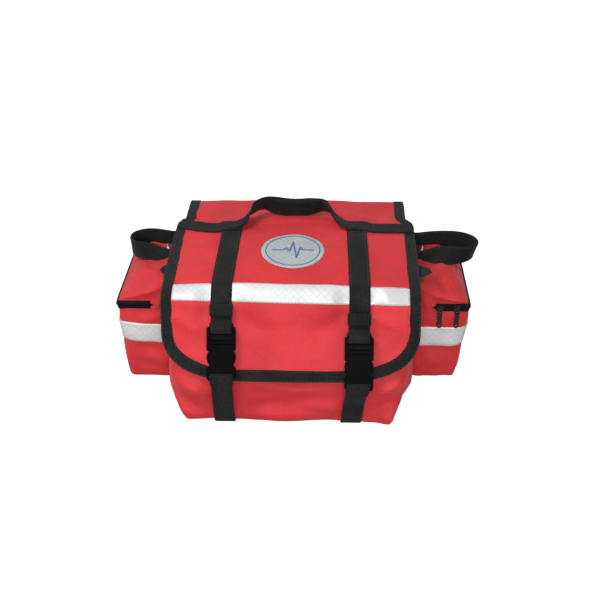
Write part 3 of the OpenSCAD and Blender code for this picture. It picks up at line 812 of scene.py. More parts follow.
for side, nm in SIDE_NAME.items():
    mouth = MOUTH[side]
    b = Build()
    rows = [flap_at(strap_x(side, s), s, 1.75 + 0.4 * rumple(s, 9, side * 3, 30, 1))
            for s in np.arange(s_at_y(HANDLE_Y + 8), s_at_drop(mouth + 3), 2.5)]
    pts, nor = np.array([p for p, n in rows]), np.array([n for p, n in rows])
    b.sweep(pts, nor, band(WEB_W, WEB_T))
    across = np.cross(tangents(pts), nor)
    for k in (-10.2, 10.2):
        b.stitch((pts + across * k + nor * 0.95)[8:58], nor[8:58])
    b.piece(nm + "_upper_strap", [WEB, THREAD_BLACK], "black_webbing", nm + "_strap_top", nm + "_strap_front",
            blend=FOLD)

    # free end threaded over the plug's bar, rolled once above the buckle: (up from the mouth, out)
    b = Build()
    threaded = [(33.5, 9.3), (38, 9.8), (44.5, 10.1), (46.4, 8.0), (44.5, 6.2), (36, 6.0), (27, 6.4), (23.6, 9.2),
                (21.4, 12.6), (18, 13.6), (15.2, 12.6), (14.0, 9.5), (12.5, 6.4), (9.5, 5.6), (2.5, 5.4)]
    path = spline([(side * STRAP_X, *front_point(mouth - u, n)) for u, n in threaded], 1.5)
    thin = np.clip((np.arange(len(path)) - 12) / 6.0, 0, 1)
    b.sweep(path, normals_about(path, [1.0, 0, 0]), [band(WEB_W + 2.4 - 2.6 * t, 3.1 - 1.4 * t) for t in thin])
    # its doubled part behind the plug's windows
    behind = [(side * STRAP_X, *front_point(mouth - u, 5.0)) for u in np.arange(24.0, 2.0, -2.0)]
    b.sweep(behind, (0, -math.cos(LEAN), math.sin(LEAN)), band(28.6, 1.0))
    b.piece(nm + "_strap_free_end", [WEB], "black_webbing", nm + "_strap_tail", body=nm + "_plug")

    # lower strap, from under the pocket up to the socket's bar: (share of the lean inwards, y, z)
    b = Build()
    lean = 8.5 if side > 0 else 1.5       # the right strap runs inwards towards the floor
    top_y, top = front_point(mouth + 44.5, 13.8)
    bar_y, bar_z = front_point(mouth + 37.0, 14.0)
    keys = [(1, -132, 1.2), (1, -144, 1.6), (1, -152.0, 5.0), (0.85, -156.8, 18), (0.62, -159.6, 36),
            (0.35, top_y + 1.0, top - 5), (0.05, bar_y - 0.6, bar_z - 1.5), (0.02, *front_point(mouth + 35.8, 12.2)),
            (0, *front_point(mouth + 36.4, 8.4)), (0, *front_point(mouth + 37.0, 5.4))]
    path = spline([(side * (STRAP_X - f * lean), y, z) for f, y, z in keys], 2.0)
    wide = np.clip((path[:, 2] - (top - 8)) / 6.0, 0, 1)
    b.sweep(path, -normals_about(path, [1.0, 0, 0]), [band(WEB_W + 2.4 * k, WEB_T) for k in wide])
    b.piece(nm + "_lower_webbing", [WEB], "black_webbing", nm + "_lower_strap",
            blend=("bag", nm + "_lower", (0, -0.1495, 0.002), (0, -0.1515, 0.014)))

# ------------------------------------------------------------------ handle webbing on the flap
SEW = dict(length=2.4, gap=1.0)
for side, nm in SIDE_NAME.items():
    b = Build()
    cut_back, bow, sweep_back = (5.0, 2.2, 12.0) if side < 0 else (2.5, -0.6, 5.0)
    rows = []
    for x in np.linspace(67, FLAP_HALF - cut_back, 44):
        s = s_at_y(HANDLE_Y) + 1.6 * rumple(x * side, 4, 0, 36, 8) + bow * math.sin((x - 62) / 88 * math.pi) \
            - sweep_back * ease(clamp((x - 100) / 46.0))
        # clear of the strap's end, which runs under it, and of the binding
        over_strap = max(0.0, 1.0 - max(0.0, abs(x - 79.5) - 12.8) / 5.0)
        h = 1.15 + 2.0 * over_strap + 2.2 * clamp((x - 138) / 12.0)
        rows.append(flap_at(side * x, s, h + 0.4 * rumple(x, side, 0, 20, 3)))
    pts, nor = np.array([p for p, n in rows]), np.array([n for p, n in rows])
    b.sweep(pts, nor, band(WEB_W, WEB_T))
    across = np.cross(tangents(pts), nor)
    for k in (-10.4, 10.4):
        b.stitch(pts + across * k + nor * 0.95, nor)
    # sewn box with a cross over the strap's end
    i0, i1 = 5, 17
    line = np.linspace(0, 1, 10)[:, None]
    for u0, u1 in ((-9, -9), (9, 9), (-9, 9), (9, -9)):
        run = (pts[i0] + across[i0] * u0) * (1 - line) + (pts[i1] + across[i1] * u1) * line
        b.stitch(run + nor[i0] * 1.0, nor[i0], **SEW)
    for i in (i0, i1):
        b.stitch(pts[i] + across[i] * np.linspace(-9, 9, 8)[:, None] + nor[i] * 1.0, nor[i], **SEW)
    b.piece(nm + "_handle_anchor", [WEB, THREAD_BLACK], "black_webbing",
            *(["handle_anchors"] if side < 0 else []), body="flap")

# carry handle: lies back on its edge, with a folded grip in the middle
PIV_Y = HANDLE_Y + 10
PIV_Z = top_z(PIV_Y) + 4.8
b = Build()
# x, distance back, height of the band's middle, tilt of the band from flat in degrees
keys = [(-84, -10.5, -0.2, 4), (-76, -10.3, 0.2, 5), (-69, -8.0, 1.8, 16), (-62, 0.5, 7.0, 44),
        (-55, 11.5, 12.2, 60), (-46, 19.5, 15.0, 65), (-36, 24.0, 14.6, 71), (-24, 24.5, 11.2, 82),
        (-8, 23.5, 9.2, 86), (8, 22.8, 9.4, 85), (22, 23.0, 11.4, 77), (34, 22.0, 13.4, 68),
        (43, 17.5, 12.8, 63), (50, 8.5, 9.8, 55), (56, -1.5, 5.2, 36), (63, -8.0, 1.8, 14),
        (70, -10.2, 0.5, 6), (80, -10.5, -0.2, 4)]
path = spline([(x, PIV_Y + y, PIV_Z + z, a) for x, y, z, a in keys], 2.0)
tilt = np.radians(path[:, 3])
path = path[:, :3]
# the band's normal turns from up to backwards as the webbing stands on edge
nor = np.stack([np.zeros(len(tilt)), np.sin(tilt), np.cos(tilt)], axis=1)
# in the grip the webbing is folded lengthwise round itself and sewn
full = ease(np.clip((path[:, 0] + 38) / 14.0, 0, 1) * np.clip((32 - path[:, 0]) / 16.0, 0, 1))
b.sweep(path, nor, [band(WEB_W - 0.6 + 1.4 * k, 1.9 + 5.6 * k) for k in full])
across = np.cross(tangents(path), nor)
thick = ((1.9 + 5.6 * full) / 2 + 0.05)[:, None]
for k in (-9.4, 9.4):
    for f in (1, -1):
        b.stitch((path + across * k + nor * thick * f)[22:-20], (nor * f)[22:-20])
b.piece("carry_handle_webbing", [WEB, THREAD_BLACK], "black_webbing", "carry_handle",
        blend=("flap", "carry_handle", (0, 0.032, 0.181), (0, 0.052, 0.185)))

# ------------------------------------------------------------------ badge
S_BADGE = s_at_y(BADGE_Y)
TURN = np.linspace(0, 2 * math.pi, 73)


def badge_ring(r, h):
    return [flap_at(r * math.cos(a), S_BADGE + r * math.sin(a), h)[0] for a in TURN]


def circle(r, count):
    return [(r * math.cos(a), S_BADGE + r * math.sin(a)) for a in np.linspace(0, 2 * math.pi, count)]


b = Build()
face = [(8, 0.95), (16, 0.95), (24, 0.95), (31, 0.95), (35, 0.95), (37.6, 0.95), (38.7, 0.75), (BADGE_R, 0.1)]
uv = [[(r * math.cos(a) * MM, r * math.sin(a) * MM) for a in TURN] for r, h in face]
b.grid([badge_ring(r, h) for r, h in face], uv)
b.fan(flap_at(0, S_BADGE, 0.95)[0], 0, 72, uv[0])
under = [badge_ring(r, 0.1 if r == BADGE_R else 0.05) for r in (BADGE_R, 35.0, 29.0, 22.0, 15.0, 8.0)]
base = b.grid(under, [[(0, 0)] * 73] * len(under))
b.fan(flap_at(0, S_BADGE, 0.05)[0], base + 73 * (len(under) - 1), 72, flip=True)
b.sweep(*flap_line(circle(33.2, 90), 1.15), band(1.5, 0.55), 1)
pulse = [(-26, 0), (-12, 0), (-8, -5), (-4, 3), (0, -19), (5, 17), (9, -6), (12, 0), (26, 0)]
dense = np.vstack([np.linspace(p, q, 5, endpoint=False) for p, q in zip(pulse, pulse[1:])] + [[pulse[-1]]])
b.sweep(*flap_line([(x, S_BADGE + s) for x, s in dense], 1.15), band(2.1, 0.55), 1)
b.stitch(*flap_line(circle(36.6, 120), 1.05), 2, length=2.4, gap=0.9)
b.piece("round_badge", [BADGE, BLUE, THREAD_GREY], "reflective_tape", "emblem_patch", body="flap", weld=True)

# ------------------------------------------------------------------ main compartment: one lofted tub


def rounded_rect(hx, y0, y1, r):
    """Closed loop of (x, y) starting at the middle of the back"""
    pts = []
    for cx, cy, a0, a1 in ((hx - r, y1 - r, 90, 0), (hx - r, y0 + r, 0, -90),
                           (-hx + r, y0 + r, -90, -180), (-hx + r, y1 - r, 180, 90)):
        pts += [(cx + r * math.cos(a), cy + r * math.sin(a)) for a in map(math.radians, np.linspace(a0, a1, 7))]
    out = []
    for p, q in zip(pts, pts[1:] + pts[:1]):
        k = max(1, int(math.dist(p, q) / 9))
        out += [(p[0] + (q[0] - p[0]) * i / k, p[1] + (q[1] - p[1]) * i / k) for i in range(k)]
    return out


MID_Y = (FRONT_Y + BACK_Y) / 2
loop = np.array(rounded_rect(HALF_W, FRONT_Y, BACK_Y, 14))
along = np.roll(loop, -1, axis=0) - np.roll(loop, 1, axis=0)
loop_n = np.stack([-along[:, 1], along[:, 0]], axis=1)
loop_n /= np.linalg.norm(loop_n, axis=1)[:, None]
loop_n *= np.sign(((loop - np.array([0.0, MID_Y])) * loop_n).sum())
loop_s = lengths(np.vstack([loop, loop[:1]]))


def rim_z(y):
    return top_z(min(y, BACK_Y - 2)) - 12.0


def taper(z):
    """The sides lean inwards towards the mouth"""
    return max(0.0, (z - 95) / 62.0) ** 1.3


def tub_ring(inset, frac, bulge, seed):
    """Ring of the tub's wall at a share of its height"""
    out = []
    for (x, y), n in zip(loop, loop_n):
        z = frac * rim_z(y)
        mid = math.sin(math.pi * clamp(z / rim_z(y)))
        soft = bulge * mid * (1.0 if abs(n[0]) < 0.5 or abs(n[1]) < 0.5 else 0.3)
        if n[1] < -0.5:
            soft *= 0.2
        if abs(n[0]) > 0.5 and PK_FRONT < y < PK_BACK and z < PK_TOP:
            soft = min(soft, 0.3)
        k = -inset + (soft + 0.8 * mid * rumple(x, y, z, 45, seed))
        if abs(n[0]) > 0.05:
            k -= 6.0 * min(1.0, max(0.0, (z - 95) / 62.0)) ** 1.3 * abs(n[0])
        out.append((x + n[0] * k, y + n[1] * k, z))
    return out


def floor_ring(inset, z):
    return [(x - n[0] * inset, y - n[1] * inset, z) for (x, y), n in zip(loop, loop_n)]


def scaled_ring(pts, mid_y, f, z):
    return [(x * f, mid_y + (y - mid_y) * f, z) for x, y in pts]


b = Build()
shares = [0.05, 0.1, 0.18, 0.28, 0.38, 0.48, 0.58, 0.68, 0.78, 0.86, 0.93, 0.98]
rings = [scaled_ring(loop, MID_Y, f, z) for f, z in ((0.02, 0.4), (0.35, 0.4), (0.7, 0.3))]
rings += [floor_ring(14, 0.3), floor_ring(6, 0.9), floor_ring(2, 3.2)]
rings += [tub_ring(0, f, 3.0, 1.3) for f in shares] + [tub_ring(0.5, 1.0, 0, 1.3), tub_ring(2.2, 1.0, 0, 1.3)]
n_outer = len(rings)
rings += [tub_ring(4.2, 0.985, 0.5, 2.2)] + [tub_ring(5.0, f, -1.0, 2.2) for f in reversed(shares[:-1])]
rings += [floor_ring(6, 5.2), floor_ring(12, 4.2)] + [scaled_ring(loop, MID_Y, f, 4.2) for f in (0.7, 0.35, 0.02)]
steps = [float(np.linalg.norm(np.array(q[5]) - np.array(p[5]))) for p, q in zip(rings, rings[1:])]
b.tube(rings, [[(s * MM, v * MM) for s in loop_s] for v in np.r_[0.0, np.cumsum(steps)]], 0, 1)
lining_from = (n_outer - 1) * len(loop)
b.index[:-2] = [1 if min(f) >= lining_from else 0 for f in b.faces[:-2]]
b.piece("main_body_cloth", [RED, LINING], "red_fabric", "main_front_panel", "main_back_panel",
        "main_left_panel", "main_right_panel", "main_bottom_panel", body="bag")

# piping along the upright corners and round the bottom
b = Build()
pipe = oval(1.7, 1.7, 10)
for sx in (-1, 1):
    path = []
    for z in np.linspace(4, rim_z(BACK_Y - 6) - 1, 40):
        d = 14 - 14 / math.sqrt(2) - 0.9 * math.sin(math.pi * z / 165)
        path.append((sx * (HALF_W - d - 4.2 * taper(z)), BACK_Y - d, z))
    b.sweep(path, (sx, 1, 0), pipe)


def open_loop(pts):
    """Starts a cut loop of points at its gap"""
    i = max(range(len(pts)), key=lambda i: math.dist(pts[i], pts[i - 1]))
    return pts[i:] + pts[:i]


b.sweep(open_loop([(x + n[0] * 0.2, y + n[1] * 0.2, 3.0) for (x, y), n in zip(loop, loop_n) if y > FRONT_Y + 14]),
        (0, 0, 1), pipe)
b.piece("main_body_piping", [RED], "red_fabric", body="bag")

# binding round the mouth
b = Build()
rim = [(x - n[0] * (2.1 + 6.0 * abs(n[0])), y - n[1] * 2.1, rim_z(y) - 0.8) for (x, y), n in zip(loop, loop_n)]
fold = [(-3.6, -5.0), (-3.6, 1.0), (-2.9, 2.6), (-1.2, 3.3), (1.2, 3.3), (2.9, 2.6), (3.6, 1.0), (3.6, -5.0),
        (2.9, -5.2), (2.9, 0.6), (1.6, 1.9), (-1.6, 1.9), (-2.9, 0.6), (-2.9, -5.2)]
b.sweep(open_loop([p for p in rim if p[1] < BACK_Y - 9]), (0, 0, 1), fold)
b.piece("mouth_edge_tape", [BINDING], "black_webbing", "mouth_binding", body="bag")

# black tapering tabs at the mouth's rim, standing out beside the flap: painted shade for the shadowed gap between
# the flap's sides and the pocket tops
for side, reach in ((-1, 161.5), (1, 169.0)):
    b = Build()
    ts = np.linspace(0, 1, 14)
    path = [(side * x, -52.0 + 5.0 * t, 158.6 - 1.6 * t * t) for x, t in zip(np.linspace(146.0, reach, 14), ts)]
    # this black band is painted shade for the gap beside the flap
    b.sweep(path, (0.1 * side, 0, 1), [band(34.0 - 24.0 * t ** 1.3, 3.0 - 0.8 * t) for t in ts])
    b.piece(SIDE_NAME[side] + "_flap_side_shade_tab", [BINDING], "black_webbing", body="bag")

# hinge seam along the back
b = Build()
seam_z = top_z(BACK_Y) - 1.5
path = [(x, BACK_Y + 0.4 * rumple(x, 0, 0, 40, 4), seam_z + 4.0 * (1 - (x / 150) ** 2) * 0.12)
        for x in np.linspace(-142, 142, 20)]
b.sweep(spline(path, 4), (0, 0, 1), oval(3.1, 2.6, 14))
b.sweep([(x, BACK_Y + 1.2, seam_z - 8.0) for x in np.linspace(-142, 142, 90)], (0, 1, 0), band(13, 1.2))
for dz in (-4.2, -12.4):
    b.stitch([(x, BACK_Y + 1.95, seam_z + dz) for x in np.linspace(-140, 140, 80)], (0, 1, 0))
b.piece("back_seam_tape", [BINDING, THREAD_BLACK], "black_webbing", "hinge_seam", body="bag")

# ------------------------------------------------------------------ inside: board and padded dividers
for name, lo, hi in (("long_divider", (-143.5, 22.5, 9), (143.5, 27.5, 126)),
                     ("cross_divider", (-2.6, -75.5, 9), (2.6, 20.0, 126))):
    pad = prism(name + "_pad", [(lo[0], lo[2]), (hi[0], lo[2]), (hi[0], hi[2]), (lo[0], hi[2])], lo[1], hi[1])
    puff(pad, 2.2, lambda c: float(any(c[i] < lo[i] + 3 or c[i] > hi[i] - 3 for i in (0, 2))),
         pressure=1.5, cap=3.0, voxel=4.0, smooth=3)
    set_materials(pad, PAD)
    box_uv(pad)
    place(pad, "divider_fabric", name, body="bag")

b = Build()
for x0, y0, x1, y1 in ((-143, 25, 143, 25), (0, -75, 0, 20)):
    path = [(x0 + (x1 - x0) * t, y0 + (y1 - y0) * t, 126.2) for t in np.linspace(0, 1, 40)]
    b.sweep(path, (0, 0, 1), oval(4.2, 2.6, 14))
b.piece("divider_edge_tape", [BINDING], "black_webbing", body="bag")

b = Build()
board = rounded_rect(142, -74, 111, 10)
steps = ((0.02, 4.3), (0.97, 4.3), (1.0, 4.9), (1.0, 6.6), (0.985, 7.3), (0.96, 7.2), (0.5, 7.1), (0.02, 7.1))
b.tube([scaled_ring(board, BOARD_MID_Y, f, z) for f, z in steps],
       [[(x * f * MM, y * f * MM) for x, y in board + board[:1]] for f, z in steps])
b.stitch(scaled_ring(board + board[:1], BOARD_MID_Y, 0.965, 7.3), (0, 0, 1), r=0.35)
b.piece("base_board_cover", [BOARD, THREAD_BLACK], "base_board", "base_board", body="bag")

# ------------------------------------------------------------------ front pocket
POCKET_Y = -83.0
side_outline = [(POCKET_Y, 135.0), (-96.0, 136.0), (-112, 133.5), (-124.0, 112), (-134.5, 92), (-143, 70),
                (-148.5, 50), (-151.5, 32), (-151.5, 16), (-149.0, 2.2), (-140, 0.8), (POCKET_Y, 1.2)]


def pocket_station(x):
    """The pocket's outline at x: narrower, and raised at the bottom, towards both ends"""
    a = abs(x)
    narrow = 1.0 if a < 128 else 1.0 - 0.30 * ((a - 128) / 18.0) ** 2
    low = 0.8 if a < 126 else 0.8 + 36.0 * (a - 126) / 21.0
    return [(x, POCKET_Y + (y - POCKET_Y) * narrow, max(z, low)) for y, z in side_outline]


def pocket_pin(c):
    if c[1] > -92 or c[2] > 128:
        return 1.0
    if c[2] < 6.0:
        return 0.9
    if abs(abs(c[0]) - STRAP_X + 3) < 13 and c[1] < -120:
        return 0.55
    return 0.0


POCKET_CREASES = [(-149, 66, -86, 36, 6, 6.0), (-147, 46, -98, 14, 7, -4.2), (-70, 58, 62, 48, 8, 4.4),
                  (-66, 22, 30, 36, 8, -3.6), (149, 64, 92, 42, 6, 5.4), (147, 40, 94, 20, 7, -4.0),
                  (-60, 12, 60, 15, 6, 3.0), (100, 20, 138, 10, 5, 2.8), (10, 30, 66, 22, 6, 3.0),
                  (-140, 20, -98, 6, 5, 2.4)]
pocket = solid("front_pocket_cloth", [pocket_station(x) for x in (
    -147, -143, -138, -133, -127, -110, -80, -40, 0, 40, 80, 110, 125, 131, 137, 142, 147)])
puff(pocket, 2.5, pocket_pin, pressure=5.0, cap=4.5, voxel=4.5, smooth=2)
for amount, size, seed in ((2.6, 48, 5.5), (1.2, 20, 9.5)):
    offset_noise(pocket, amount, size, seed, lambda c: clamp((-95 - c[1]) / 30.0))
for v in pocket.data.vertices:
    c = v.co / MM
    if c.y < -118:
        v.co.y -= 1.3 * MM * creases(c.x, c.z, POCKET_CREASES)
        if c.x > 40:
            v.co.y -= 4.5 * MM * min(1.0, (c.x - 40) / 60.0) * max(0.0, 1 - c.z / 28.0)
        # the cloth is drawn in under the lower straps
        for strap in (-80, 75.5 + 4 * min(1, c.z / 60)):
            v.co.y += 3.4 * MM * bell(c.x - strap, 15.0) * min(1.0, c.z / 20.0)
        v.co.z = max(v.co.z, 0.6 * MM)
        # it stays behind the flap, and bulges out only below its edge
        limit = FOLD_Y - (FOLD_Z - c.z) * math.tan(LEAN) + 3.0 - 8.0 * clamp((57 - c.z) / 10.0)
        v.co.y = max(v.co.y, -0.1615, limit * MM)
        if c.x > 100:
            v.co.x -= 8.0 * MM * clamp((86 - c.z) / 58.0) * min(1.0, (c.x - 100) / 36.0)
            v.co.y -= 6.5 * MM * min(1.0, (c.x - 100) / 24.0) * max(0.0, 1 - c.z / 34.0)
subdivide(pocket)
set_materials(pocket, RED)
box_uv(pocket)
place(pocket, "red_fabric", "front_pocket_shell", body="bag")


def coil(b, path, normal, r, pitch=1.5):
    """Zip coil: a ribbed bead along the path"""
    both = np.hstack([np.array(path, float), np.broadcast_to(np.array(normal, float), (len(path), 3))])
    both = spline(both, pitch / 2)
    rings = []
    for i, (p, t, n) in enumerate(zip(both[:, :3], tangents(both[:, :3]), both[:, 3:])):
        a = unit(np.cross(t, n))
        k = 1.0 if i % 2 else 0.72
        rings.append([p + a * (k * x) + n * (k * y) for x, y in oval(2.1, r, 8)])
    b.tube(rings, [[(0, 0)] * 9] * len(rings), 1)


# zip along the top of the front pocket
b = Build()
zx = np.linspace(-119, 119, 60)
b.sweep([(x, -99.0, 136.4) for x in zx], (0, 0, 1), band(15, 1.0))
coil(b, [(x, -99.0, 137.0) for x in zx[1:-1]], (0, 0, 1), 1.0)
for dy in (-5.4, 5.4):
    b.stitch([(x, -99.0 + dy, 137.0) for x in zx], (0, 0, 1), 2, r=0.34)
b.piece("front_pocket_zip", [ZIPTAPE, COIL, THREAD_BLACK], "zip_tape", "front_zip_tape", body="bag")

# ------------------------------------------------------------------ end pockets


def side_x(z):
    """The outer side of the plain pocket at height z"""
    return 200.0 + 17.0 * (z - 6.0) / 101.5


def around(z, x_end=LID_X, step=3.0):
    """Path round the pocket at height z: front, outer side and back; x grows outwards"""
    hx, r, quarter = side_x(z), 10.0, np.linspace(0, math.pi / 2, 7)
    pts = [(x, PK_FRONT) for x in np.arange(x_end, hx - r, step)]
    pts += [(hx - r + r * math.sin(a), PK_FRONT + r - r * math.cos(a)) for a in quarter]
    pts += [(hx, y) for y in np.arange(PK_FRONT + r + step, PK_BACK - r, step)]
    pts += [(hx - r + r * math.cos(a), PK_BACK - r + r * math.sin(a)) for a in quarter]
    return pts + [(x, PK_BACK) for x in np.arange(hx - r - step, x_end, -step)]


def cut(ob, name, z, keep_above):
    """The half of a closed cloth solid above or below a height, open at the cut"""
    bm = bmesh.new()
    bm.from_mesh(ob.data)
    bmesh.ops.bisect_plane(bm, geom=list(bm.verts) + list(bm.edges) + list(bm.faces), plane_co=(0, 0, z * MM),
                           plane_no=(0, 0, 1), clear_inner=keep_above, clear_outer=not keep_above)
    return new_object(bm, name)


def pocket_pins(c):
    x = abs(c[0])
    if x < 154:
        return 1.0
    if abs(c[2] - ZIP_MID) < 5 and x > 170:
        return 0.9
    if c[2] < 10 or abs(c[2] - 140) < 4 and x > 205:
        return 0.5
    return 0.0


def soft(c):
    return clamp((abs(c[0]) - 154) / 10.0) * min(1.0, abs(c[2] - ZIP_MID) / 12.0)


# creases: from x, z (front) or x, y (top) to the same, width, height
FRONT_LINES = [(152, 102, 198, 88, 6, 3.4), (153, 26, 196, 46, 8, 3.2), (157, 136, 174, 100, 4, 3.6),
               (142, 142, 236, 122, 3.2, 3.6), (164, 12, 204, 24, 6, 2.4), (158, 58, 212, 48, 9, -1.6)]
LID_LINES = [(156, -62, 192, -10, 5, 5.0), (160, 4, 214, 26, 9, -3.4), (156, 74, 204, 40, 8, 3.6),
             (186, -60, 176, 24, 6, -3.4), (200, -62, 208, 60, 7, 2.2)]
# grab handles: x, y, z and the tilt of the webbing in degrees
HANDLE_START = [(152.0, -10, 150, 0), (152.6, 0, 150, 10), (158, 7.5, 148.0, 30)]
HANDLE_END = [(157, 43.5, 152.5, 0), (152.6, 50, 152, 0), (152.0, 60, 152, 0)]
HANDLE_ARCH = {-1: [(168, 10.5, 147.5, 38), (180, 12.0, 148.5, 20), (193, 12.5, 151.5, 6), (204, 17, 151.5, -2),
                    (211, 27, 151.5, -4), (209.5, 39, 152.5, -2), (199, 47, 153.5, 2), (184, 48.5, 154, 3),
                    (168, 45, 153.5, 2)],
               1: [(170, 10.0, 147.5, 42), (186, 9.0, 149, 30), (202, 6.5, 151, 12), (216, 7.0, 151.5, -8),
                   (227, 13, 151.5, -18), (231.2, 25, 152, -14), (226, 37, 153, -4), (212, 45, 154, 2),
                   (192, 47.5, 154, 4), (172, 45.5, 153.5, 2)]}

for side, nm in SIDE_NAME.items():
    # the left pocket's foot stands further out
    foot, under = (9.0, 5.5) if side < 0 else (2.5, 9.0)
    whole = prism(nm + "_pocket_whole", [(side * x, z) for x, z in (
        (151.0, under), (200.0 + foot, under), (203.0 + foot, under + 3), (208.5 + 0.5 * foot, 34),
        (211.5 + 0.5 * foot, 62), (217.5, 106), (218.0, 115), (214.5, 121.5), (208.5, 131), (199, 139.5),
        (176, 142.5), (151.0, 146.0))], PK_FRONT - 1.0, PK_BACK + 1.0)
    puff(whole, 2.5, pocket_pins, pressure=5.0, cap=3.6, voxel=4.0, smooth=2)
    offset_noise(whole, 2.2, 40, 3.3 + side, soft)
    offset_noise(whole, 1.0, 17, 8.1 + side, soft)
    for v in whole.data.vertices:
        c = v.co / MM
        x = abs(c.x)
        if c.y < PK_FRONT + 6:
            # front: cloth drawn between the seam at the bag and the zip's end
            v.co.y -= MM * creases(x, c.z, FRONT_LINES)
        if c.z > 121:
            v.co.z += 2.6 * MM * rumple(c.x, c.y, 0, 24, 4.4 + side) * min(1.0, (c.z - 121) / 10.0)
            # the top falls towards the front
            fall = (1 - clamp((c.y - PK_FRONT) / 66.0)) ** 1.4
            v.co.z -= 12.0 * MM * fall * min(1.0, (c.z - 121) / 19.0) * clamp((x - 162) / 44.0)
        if c.z > 134:
            v.co.z += MM * (creases(x, c.y, LID_LINES) + 4.0 * max(0.0, 1 - (x - 151) / 16.0))
    box_uv(whole)
    whole_tree = tree_of(whole)

    cut_z = ZIP_MID - 0.4
    body = cut(whole, nm + "_pocket_cloth", cut_z, False)
    lid = cut(whole, nm + "_lid_cloth", cut_z, True)
    for part, sign in ((body, -1), (lid, 1)):
        # the edges part for the zip
        for v in part.data.vertices:
            c = v.co / MM
            d = (c.z - cut_z) * sign
            if d < 10:
                v.co.z += sign * 4.3 * clamp((abs(c.x) - 174.5) / 4.0) * (1 - d / 10) * MM
        set_materials(part, RED, LINING)
        modify(part, "SOLIDIFY", thickness=2.0 * MM, offset=-1.0, material_offset=1)
        apply_modifiers(part)
        subdivide(part)
        recalc(part)
    bpy.data.objects.remove(whole)
    place(body, "red_fabric", nm + "_pocket_shell", body="bag")
    place(lid, "red_fabric", nm + "_pocket_lid",
          blend=("bag", nm + "_lid", (side * 0.1695, 0.01, 0.1385), (side * 0.1825, 0.01, 0.1385)))

    def on_pocket(x, y, z, lift):
        """Point on the swollen cloth nearest the plain outline, seen from outside"""
        if x > side_x(z) - 11 and PK_FRONT + 9 < y < PK_BACK - 9:
            d = np.array([1.0, 0.0])
        elif x < side_x(z) - 10:
            d = np.array([0.0, -1.0 if y < 10 else 1.0])
        else:
            d = unit(np.array([x - (side_x(z) - 10), y - (PK_FRONT + 10 if y < 10 else PK_BACK - 10)]))
        out = np.array([side * d[0], d[1], 0.0])
        origin = Vector(np.array([side * x, y, z]) + out * 30) * MM
        hit = whole_tree.ray_cast(origin, Vector(-out).normalized(), 1.0)[0]
        return (None if hit is None else np.array(hit) / MM + out * lift), out

    def pocket_line(z, lift, **kw):
        """Points lift(x) off the cloth round the pocket at height z, and the directions out of it"""
        rows = [on_pocket(x, y, z, lift(x)) for x, y in around(z, step=2.5, **kw)]
        rows = [(p, o) for p, o in rows if p is not None]
        return [p for p, o in rows], [o for p, o in rows]

    # zip: tape a little inside the cloth's edges, coil in the gap; it stands out on the outer side
    b = Build()
    pts, _ = pocket_line(ZIP_MID, lambda x: -0.4 + 1.3 * clamp((x - side_x(ZIP_MID) + 12) / 9.0))
    pts = spline(pts, 2.0)
    nor = normals_about(pts, [0, 0, 1.0])
    middle = np.array([side * 180.0, 10.0, ZIP_MID])
    nor = np.array([n if np.dot(n, p - middle) > 0 else -n for n, p in zip(nor, pts)])
    b.sweep(pts, nor, band(11.5, 1.2))
    coil(b, pts[1:-1] + nor[1:-1] * 0.7, nor[1:-1], 1.5)
    b.piece(nm + "_pocket_zip", [ZIPTAPE, COIL], "zip_tape", nm + "_zip_tape", body="bag")
    # stitching below the zip, and along the lid's folded edge
    for part, offset, kw, on in (("pocket", -7.0, {}, "bag"), ("lid", 7.2, dict(x_end=186), nm + "_lid")):
        b = Build()
        b.stitch(*pocket_line(ZIP_MID + offset, lambda x: 0.25, **kw), 0, r=0.34)
        b.piece(nm + "_" + part + "_stitches", [THREAD_RED], "red_fabric", body=on)

    # reflective tape laid on the swollen cloth
    b = Build()
    offs = np.linspace(-13.5, 13.5, 11)
    outer, inner, uv = [], [], []
    s, prev = 0.0, None
    for x, y in around(72.0, x_end=152.5, step=4.0):
        mid = 72.0 + (5.0 * (x - 165) / 50.0 if side < 0 else 0.0)
        row = [on_pocket(x, y, mid + o, 0.0) for o in offs]
        if any(p is None for p, o in row):
            continue
        s += 0.0 if prev is None else math.dist(prev, (x, y))
        prev = (x, y)
        outer.append([p + o * (0.8 if abs(k) < 13 else 0.3) for (p, o), k in zip(row, offs)])
        inner.append([p - o * 0.5 for p, o in row])
        uv.append([(s * MM, k * MM) for k in offs])
    b.skin(outer, inner, uv)
    for col in (1, len(offs) - 2):
        pts = np.array([r[col] for r in outer])
        nor = np.array([unit(t[col] - q[col]) for t, q in zip(outer, inner)])
        b.stitch(pts + nor * 0.1, nor, r=0.33, length=2.6)
    b.piece(nm + "_pocket_tape", [SILVER, THREAD_GREY], "reflective_tape", nm + "_pocket_reflector", body="bag")

